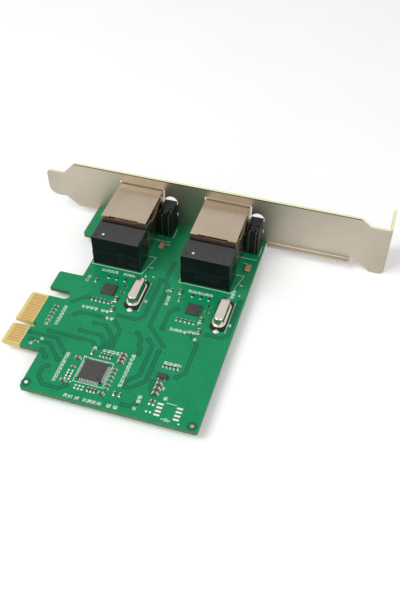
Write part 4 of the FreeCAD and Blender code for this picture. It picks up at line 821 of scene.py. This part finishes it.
def bracket_finish():
    """Bright nickel with a long rolled grain, painted shade under the rim, a painted highlight on
    top.
    """
    material, tree, main = shader("bright_nickel", metallic=1.0)
    place = add_node(tree, "ShaderNodeTexCoord")
    stretch = add_node(tree, "ShaderNodeMapping")
    stretch.inputs["Scale"].default_value = (60.0, 900.0, 900.0)
    rolled = add_node(tree, "ShaderNodeTexNoise")
    rolled.inputs["Scale"].default_value = 3.0
    rolled.inputs["Detail"].default_value = 5.0
    tree.links.new(place.outputs["Object"], stretch.inputs["Vector"])
    tree.links.new(stretch.outputs["Vector"], rolled.inputs["Vector"])
    smear = grain(tree, (0.545, 0.49, 0.405), (0.44, 0.395, 0.325), 45.0, 0.36, 0.48)
    axes = add_node(tree, "ShaderNodeSeparateXYZ")
    tree.links.new(place.outputs["Object"], axes.inputs[0])
    shape = add_node(tree, "ShaderNodeNewGeometry")
    facing = add_node(tree, "ShaderNodeSeparateXYZ")
    tree.links.new(shape.outputs["Normal"], facing.inputs[0])
    near_rim = maths(tree, "GREATER_THAN", axes.outputs["Z"], RIM_LEVEL)
    inward = maths(tree, "LESS_THAN", facing.outputs["Y"], -0.5)
    painted_shade_band = maths(tree, "MULTIPLY", near_rim, inward)
    # Painted shade: a near-black band along the top of the inner face, just under the rim.
    colour = mixed(tree, painted_shade_band, smear.outputs["Color"], (0.12, 0.11, 0.07))
    on_edge = maths(tree, "GREATER_THAN", facing.outputs["Z"], 0.7)
    raised = maths(tree, "GREATER_THAN", axes.outputs["Z"], SHOULDER_LEVEL)
    painted_highlight_rim = maths(tree, "MULTIPLY", on_edge, raised)
    # Painted highlight: pale yellow on the upward faces of the edge above the shoulder.
    colour = mixed(tree, painted_highlight_rim, colour, (0.80, 0.80, 0.50))
    tree.links.new(colour, main.inputs["Base Color"])
    tree.links.new(smear.outputs["Roughness"], main.inputs["Roughness"])
    bumped(tree, main, rolled.outputs["Fac"], 0.06, GRAIN_DEPTH)
    return material


dress(["bracket"], bracket_finish())


# ---- jacks: formed brass sheet, plated with tin, round a black moulded insert ----
# The shell is one thin sheet, satin from its plating and bare brass where it is sheared.  The insert
# is glass-filled plastic, closed in by the shell, and the crystals' pads have the same finish.

SHEARED_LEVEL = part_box("jack_shell_1")[1].z - 0.24 * MM


def shell_finish():
    """Satin tin plating, with the brass of the sheet bare along its sheared edges."""
    material, tree, main = shader("shell_metal", metallic=1.0)
    plate = grain(tree, (0.50, 0.41, 0.315), (0.42, 0.345, 0.265), 120.0, 0.24, 0.34)
    place = add_node(tree, "ShaderNodeTexCoord")
    axes = add_node(tree, "ShaderNodeSeparateXYZ")
    tree.links.new(place.outputs["Object"], axes.inputs[0])
    at_top = maths(tree, "GREATER_THAN", axes.outputs["Z"], SHEARED_LEVEL)
    shape = add_node(tree, "ShaderNodeNewGeometry")
    facing = add_node(tree, "ShaderNodeSeparateXYZ")
    tree.links.new(shape.outputs["Normal"], facing.inputs[0])
    upright = maths(tree, "LESS_THAN", maths(tree, "ABSOLUTE", facing.outputs["Z"]), 0.6)
    sheared = maths(tree, "MULTIPLY", at_top, upright)
    colour = mixed(tree, sheared, plate.outputs["Color"], (0.80, 0.62, 0.26))
    tree.links.new(colour, main.inputs["Base Color"])
    tree.links.new(plate.outputs["Roughness"], main.inputs["Roughness"])
    bumped(tree, main, plate.outputs["Height"], 0.05, GRAIN_DEPTH)
    return material


dress(["jack_shell_1", "jack_shell_2"], shell_finish())
moulded = finish_of("moulded_black", (0.012, 0.012, 0.014), (0.007, 0.007, 0.008), 1800.0,
                    0.30, 0.50, relief=0.3, specular=0.3)
dress(["jack_insert_1", "jack_insert_2", "crystal_pad_1", "crystal_pad_2"], moulded)
brass = finish_of("sheared_brass", (0.78, 0.58, 0.22), (0.66, 0.48, 0.17), 900.0, 0.25, 0.4,
                  metallic=0.4)
# The seam on a shell's side wall, from the front to the back: Y and Z in millimetres.
SEAM = ((57.0, 12.7), (50.9, 12.7), (49.5, 11.0), (44.9, 11.0), (43.3, 12.9), (39.5, 12.9))
SEAM_WIDE = 0.26 * MM
SHELL_HALF = 7.7 * MM


def make_seams():
    """The stepped joint where the two halves of each shell lap, bare along its sheared edge."""
    shapes = []
    flat_corners, faces = strip([(y * MM, z * MM) for y, z in SEAM], SEAM_WIDE, -FILM, 4 * FILM)
    for name in ("jack_shell_1", "jack_shell_2"):
        low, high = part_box(name)
        centre = (low.x + high.x) / 2
        for side in (-1.0, 1.0):
            corners = [(centre + side * (SHELL_HALF + out), y, z) for y, z, out in flat_corners]
            shapes.append((corners, faces))
    closed_mesh("shell_seams", *joined(shapes), brass, "shell_metal")


make_seams()


# ---- line transformers: windings potted in black moulded cases, soldered through the board ----
# The top is matt grey-black, with the fine texture of a spark-eroded mould.  The sides are darker
# and shine, because that part of the mould is polished.

def case_finish():
    """Matt textured top over glossier sides."""
    material, tree, main = shader("potted_case", specular=0.25)
    matt = grain(tree, (0.058, 0.056, 0.060), (0.034, 0.033, 0.036), 2600.0, 0.55, 0.72)
    sides = grain(tree, (0.006, 0.007, 0.009), (0.003, 0.004, 0.005), 300.0, 0.20, 0.30)
    shape = add_node(tree, "ShaderNodeNewGeometry")
    facing = add_node(tree, "ShaderNodeSeparateXYZ")
    tree.links.new(shape.outputs["Normal"], facing.inputs[0])
    on_top = maths(tree, "GREATER_THAN", facing.outputs["Z"], 0.6)
    colour = mixed(tree, on_top, sides.outputs["Color"], matt.outputs["Color"])
    step = maths(tree, "SUBTRACT", matt.outputs["Roughness"], sides.outputs["Roughness"])
    rougher = maths(tree, "MULTIPLY", step, on_top)
    rough = maths(tree, "ADD", rougher, sides.outputs["Roughness"])
    tree.links.new(colour, main.inputs["Base Color"])
    tree.links.new(rough, main.inputs["Roughness"])
    bumped(tree, main, matt.outputs["Height"], 0.35, GRAIN_DEPTH)
    return material


dress(["transformer_1", "transformer_2"], case_finish())


PIN_MARK_INSET = (3.6 * MM, 2.2 * MM)
PIN_MARK_RADIUS = 0.42 * MM


def make_pin_marks():
    """A printed white dot beside the first pin on each case."""
    dots = []
    for name in ("transformer_1", "transformer_2"):
        low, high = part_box(name)
        middle = (low.x + PIN_MARK_INSET[0], low.y + PIN_MARK_INSET[1])
        dots.append(disc(middle, PIN_MARK_RADIUS, high.z - FILM, high.z + FILM, 20))
    closed_mesh("pin_marks", *joined(dots), ink, "case_black")


make_pin_marks()


# ---- lamp holders and lamps: black moulded blocks with two clear lamps each ----
# The lamps are cast resin, faintly green, and sit in bores behind the bracket's holes.  Their four
# tinned leads bend down behind the holder and are soldered through the board; their dark grey is
# painted shade.

lamp_clear, lamp_tree, lamp_main = shader("lamp_clear")
lamp_grain = grain(lamp_tree, (0.62, 0.66, 0.50), (0.50, 0.56, 0.40), 400.0, 0.08, 0.16)
lamp_tree.links.new(lamp_grain.outputs["Color"], lamp_main.inputs["Base Color"])
lamp_tree.links.new(lamp_grain.outputs["Roughness"], lamp_main.inputs["Roughness"])
lamp_main.inputs["Coat Weight"].default_value = 0.6
dress(["lamps_1", "lamps_2"], lamp_clear)
dress(["lamp_holder_1", "lamp_holder_2"], moulded)
# Painted shade: the leads are tinned, but coloured dark grey for the shade in the holder's grooves.
leads_painted_dark = finish_of("leads_painted_dark", (0.26, 0.25, 0.23), (0.16, 0.155, 0.14), 900.0, 0.35, 0.5,
                       metallic=1.0)
dress(["lamp_leads_1", "lamp_leads_2"], leads_painted_dark)


# ---- timing crystals: drawn cans, polished and nickel plated ----
# Each can is drawn from thin sheet, which leaves a round upper edge, and is welded all round to the
# rim of its base.  It lies on a black insulating pad, with a soldered foot at each end.

CAN_RIM_TALL = 0.35 * MM
CAN_RIM_WIDE = 0.62 * MM
CAN_RIM_ROUND = 0.10 * MM
CAN_RIM_FOOT = 0.08 * MM
CAN_ROOT_OUT = 0.12 * MM
CAN_ROOT_UP = 0.14 * MM
CAN_EDGE = 0.5 * MM
CAN_SIDES = 40


def make_can(name):
    """A can with its drawn round edge and rim, in place of the plain solid."""
    low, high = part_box(name)
    middle = (low + high) / 2
    rim_high = low.z + CAN_RIM_TALL
    rim_half = (high.x - low.x) / 2
    can_half = rim_half - CAN_RIM_WIDE
    run = (high.y - low.y) / 2 - rim_half
    profile = [(rim_half - CAN_RIM_ROUND, low.z), (rim_half, low.z + CAN_RIM_FOOT),
               (rim_half, rim_high - CAN_RIM_ROUND), (rim_half - CAN_RIM_ROUND, rim_high),
               (can_half + CAN_ROOT_OUT, rim_high), (can_half, rim_high + CAN_ROOT_UP)]
    for step in range(7):
        turn = math.pi / 2 * step / 6
        profile.append((can_half - CAN_EDGE + CAN_EDGE * math.cos(turn),
                        high.z - CAN_EDGE + CAN_EDGE * math.sin(turn)))
    corners = []
    for radius, level in profile:
        for step in range(CAN_SIDES):
            turn = 2 * math.pi * step / CAN_SIDES
            stretch = run if math.sin(turn) >= 0 else -run
            corners.append((middle.x + radius * math.cos(turn),
                            middle.y + radius * math.sin(turn) + stretch, level))
    faces = ring_faces(len(profile), CAN_SIDES)
    can = closed_mesh(name + "_drawn", corners, faces, can_metal, "can_nickel")
    for face in can.data.polygons:
        face.use_smooth = len(face.vertices) == 4
    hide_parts(name)


can_metal = finish_of("can_nickel", (0.66, 0.60, 0.52), (0.60, 0.55, 0.47), 60.0, 0.08, 0.14,
                      metallic=1.0, relief=0.03)
make_can("crystal_can_1")
make_can("crystal_can_2")


# ---- chips and small components: moulded epoxy, film and fired ceramic with tinned ends ----
# The chips are epoxy moulded round a lead frame, matt and slightly brown, with a polished spot at the
# first pin.  The small resistors have a black film, and the capacitors are brown fired ceramic.

epoxy = finish_of("chip_epoxy", (0.052, 0.048, 0.044), (0.034, 0.031, 0.029), 2200.0, 0.42, 0.6,
                  relief=0.25)
dress(["controller_chip_1", "controller_chip_2", "bridge_chip", "regulator"], epoxy)
dress(["bridge_leads", "regulator_leads", "controller_pads_1", "controller_pads_2",
       "crystal_feet_1", "crystal_feet_2", "jack_tails_1", "jack_tails_2",
       "transformer_tails_1", "transformer_tails_2", "resistor_ends", "small_capacitor_ends",
       "ceramic_capacitor_ends_1", "ceramic_capacitor_ends_2"], tin)

film = finish_of("film_black", (0.020, 0.020, 0.022), (0.012, 0.012, 0.013), 3000.0, 0.3, 0.45)
fired = finish_of("fired_ceramic", (0.225, 0.120, 0.050), (0.120, 0.062, 0.028), 2200.0, 0.4, 0.6)
port_fired = finish_of("port_ceramic", (0.56, 0.27, 0.10), (0.44, 0.21, 0.08), 2200.0, 0.4, 0.6)
dress(["resistors"], film)
dress(["small_capacitors"], fired)
dress(["ceramic_capacitor_1", "ceramic_capacitor_2"], port_fired)


# The chip, the inset of its spot from two edges, and the spot's radius, in millimetres.
PIN_SPOTS = (("bridge_chip", 0.9, 0.32), ("controller_chip_1", 0.7, 0.2),
             ("controller_chip_2", 0.7, 0.2))


def make_pin_spots():
    """A flat polished spot by the first pin of each chip."""
    spots = []
    for name, inset, radius in PIN_SPOTS:
        low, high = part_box(name)
        middle = (high.x - inset * MM, low.y + inset * MM)
        spots.append(disc(middle, radius * MM, high.z - FILM, high.z + FILM, 20))
    closed_mesh("pin_spots", *joined(spots), moulded, "chip_black")


make_pin_spots()


# ---- studio: a pale paper floor, a white room, two soft lamps and the camera ----
# The floor touches the card's lowest point and is clear from below, so that the underside shows.
# The room is white where it is seen straight or in metal, and lights the card less than that.

def seen_share(tree):
    """One where a surface is seen straight or in a reflection, and nothing where it only lights."""
    path = add_node(tree, "ShaderNodeLightPath")
    mirrored = maths(tree, "MAXIMUM", path.outputs["Is Glossy Ray"],
                     path.outputs["Is Transmission Ray"])
    return maths(tree, "MAXIMUM", path.outputs["Is Camera Ray"], mirrored)


FLOOR_REACH = 3.0
FLOOR_GLOW = 0.11
floor_material, floor_tree, floor_main = shader("pale_floor", specular=0.2)
paper = grain(floor_tree, (0.95, 0.95, 0.95), (0.93, 0.93, 0.93), 30.0, 0.6, 0.7)
floor_tree.links.new(paper.outputs["Color"], floor_main.inputs["Base Color"])
floor_tree.links.new(paper.outputs["Roughness"], floor_main.inputs["Roughness"])
floor_side = add_node(floor_tree, "ShaderNodeNewGeometry")
from_above = maths(floor_tree, "SUBTRACT", 1.0, floor_side.outputs["Backfacing"])
floor_tree.links.new(from_above, floor_main.inputs["Alpha"])
floor_main.inputs["Emission Color"].default_value = (1.0, 1.0, 1.0, 1.0)
floor_glow = maths(floor_tree, "MULTIPLY", seen_share(floor_tree), FLOOR_GLOW)
floor_tree.links.new(floor_glow, floor_main.inputs["Emission Strength"])
floor_level = cad_box[0][2]
floor_mesh = bpy.data.meshes.new("floor")
floor_mesh.from_pydata([(x, y, floor_level) for x, y in (
    (-FLOOR_REACH, -FLOOR_REACH), (FLOOR_REACH, -FLOOR_REACH),
    (FLOOR_REACH, FLOOR_REACH), (-FLOOR_REACH, FLOOR_REACH))], [], [(0, 1, 2, 3)])
floor_mesh.materials.append(floor_material)
floor = bpy.data.objects.new("floor", floor_mesh)
bpy.context.scene.collection.objects.link(floor)

world = bpy.data.worlds.new("studio")
bpy.context.scene.world = world
world.use_nodes = True
room = world.node_tree.nodes["Background"]
room.inputs["Color"].default_value = (1.0, 1.0, 1.0, 1.0)
ROOM_LEVEL = 0.5
room_tree = world.node_tree
room_share = maths(room_tree, "MULTIPLY", seen_share(room_tree), 1.0 - ROOM_LEVEL)
room_strength = maths(room_tree, "ADD", room_share, ROOM_LEVEL)
room_tree.links.new(room_strength, room.inputs["Strength"])

LAMP_TARGET = (0.045, 0.02, 0.0)


def aimed(thing, place, target):
    """Put a lamp or camera at a place, looking at a target."""
    thing.location = place
    thing.rotation_euler = (Vector(target) - Vector(place)).to_track_quat("-Z", "Y").to_euler()
    bpy.context.scene.collection.objects.link(thing)


def soft_lamp(name, place, size, power):
    """A square soft box aimed at the card."""
    lamp = bpy.data.lights.new(name, "AREA")
    lamp.size = size
    lamp.energy = power
    aimed(bpy.data.objects.new(name, lamp), place, LAMP_TARGET)


soft_lamp("key_lamp", place=(-0.35, -0.25, 0.60), size=0.45, power=3.4)
soft_lamp("fill_lamp", place=(0.55, -0.30, 0.45), size=0.50, power=1.2)

VIEW_TURN = math.radians(17.0)
VIEW_RISE = math.radians(47.0)
VIEW_DISTANCE = 0.2387
LOOK_AT = Vector((0.0524, 0.0254, 0.0))
away = Vector((math.sin(VIEW_TURN) * math.cos(VIEW_RISE),
               -math.cos(VIEW_TURN) * math.cos(VIEW_RISE), math.sin(VIEW_RISE)))
camera_data = bpy.data.cameras.new("camera")
camera_data.lens = 45.0
camera_data.clip_start = 0.005
camera = bpy.data.objects.new("camera", camera_data)
aimed(camera, LOOK_AT + away * VIEW_DISTANCE, LOOK_AT)
bpy.context.scene.camera = camera
bpy.context.scene.view_settings.view_transform = "Standard"
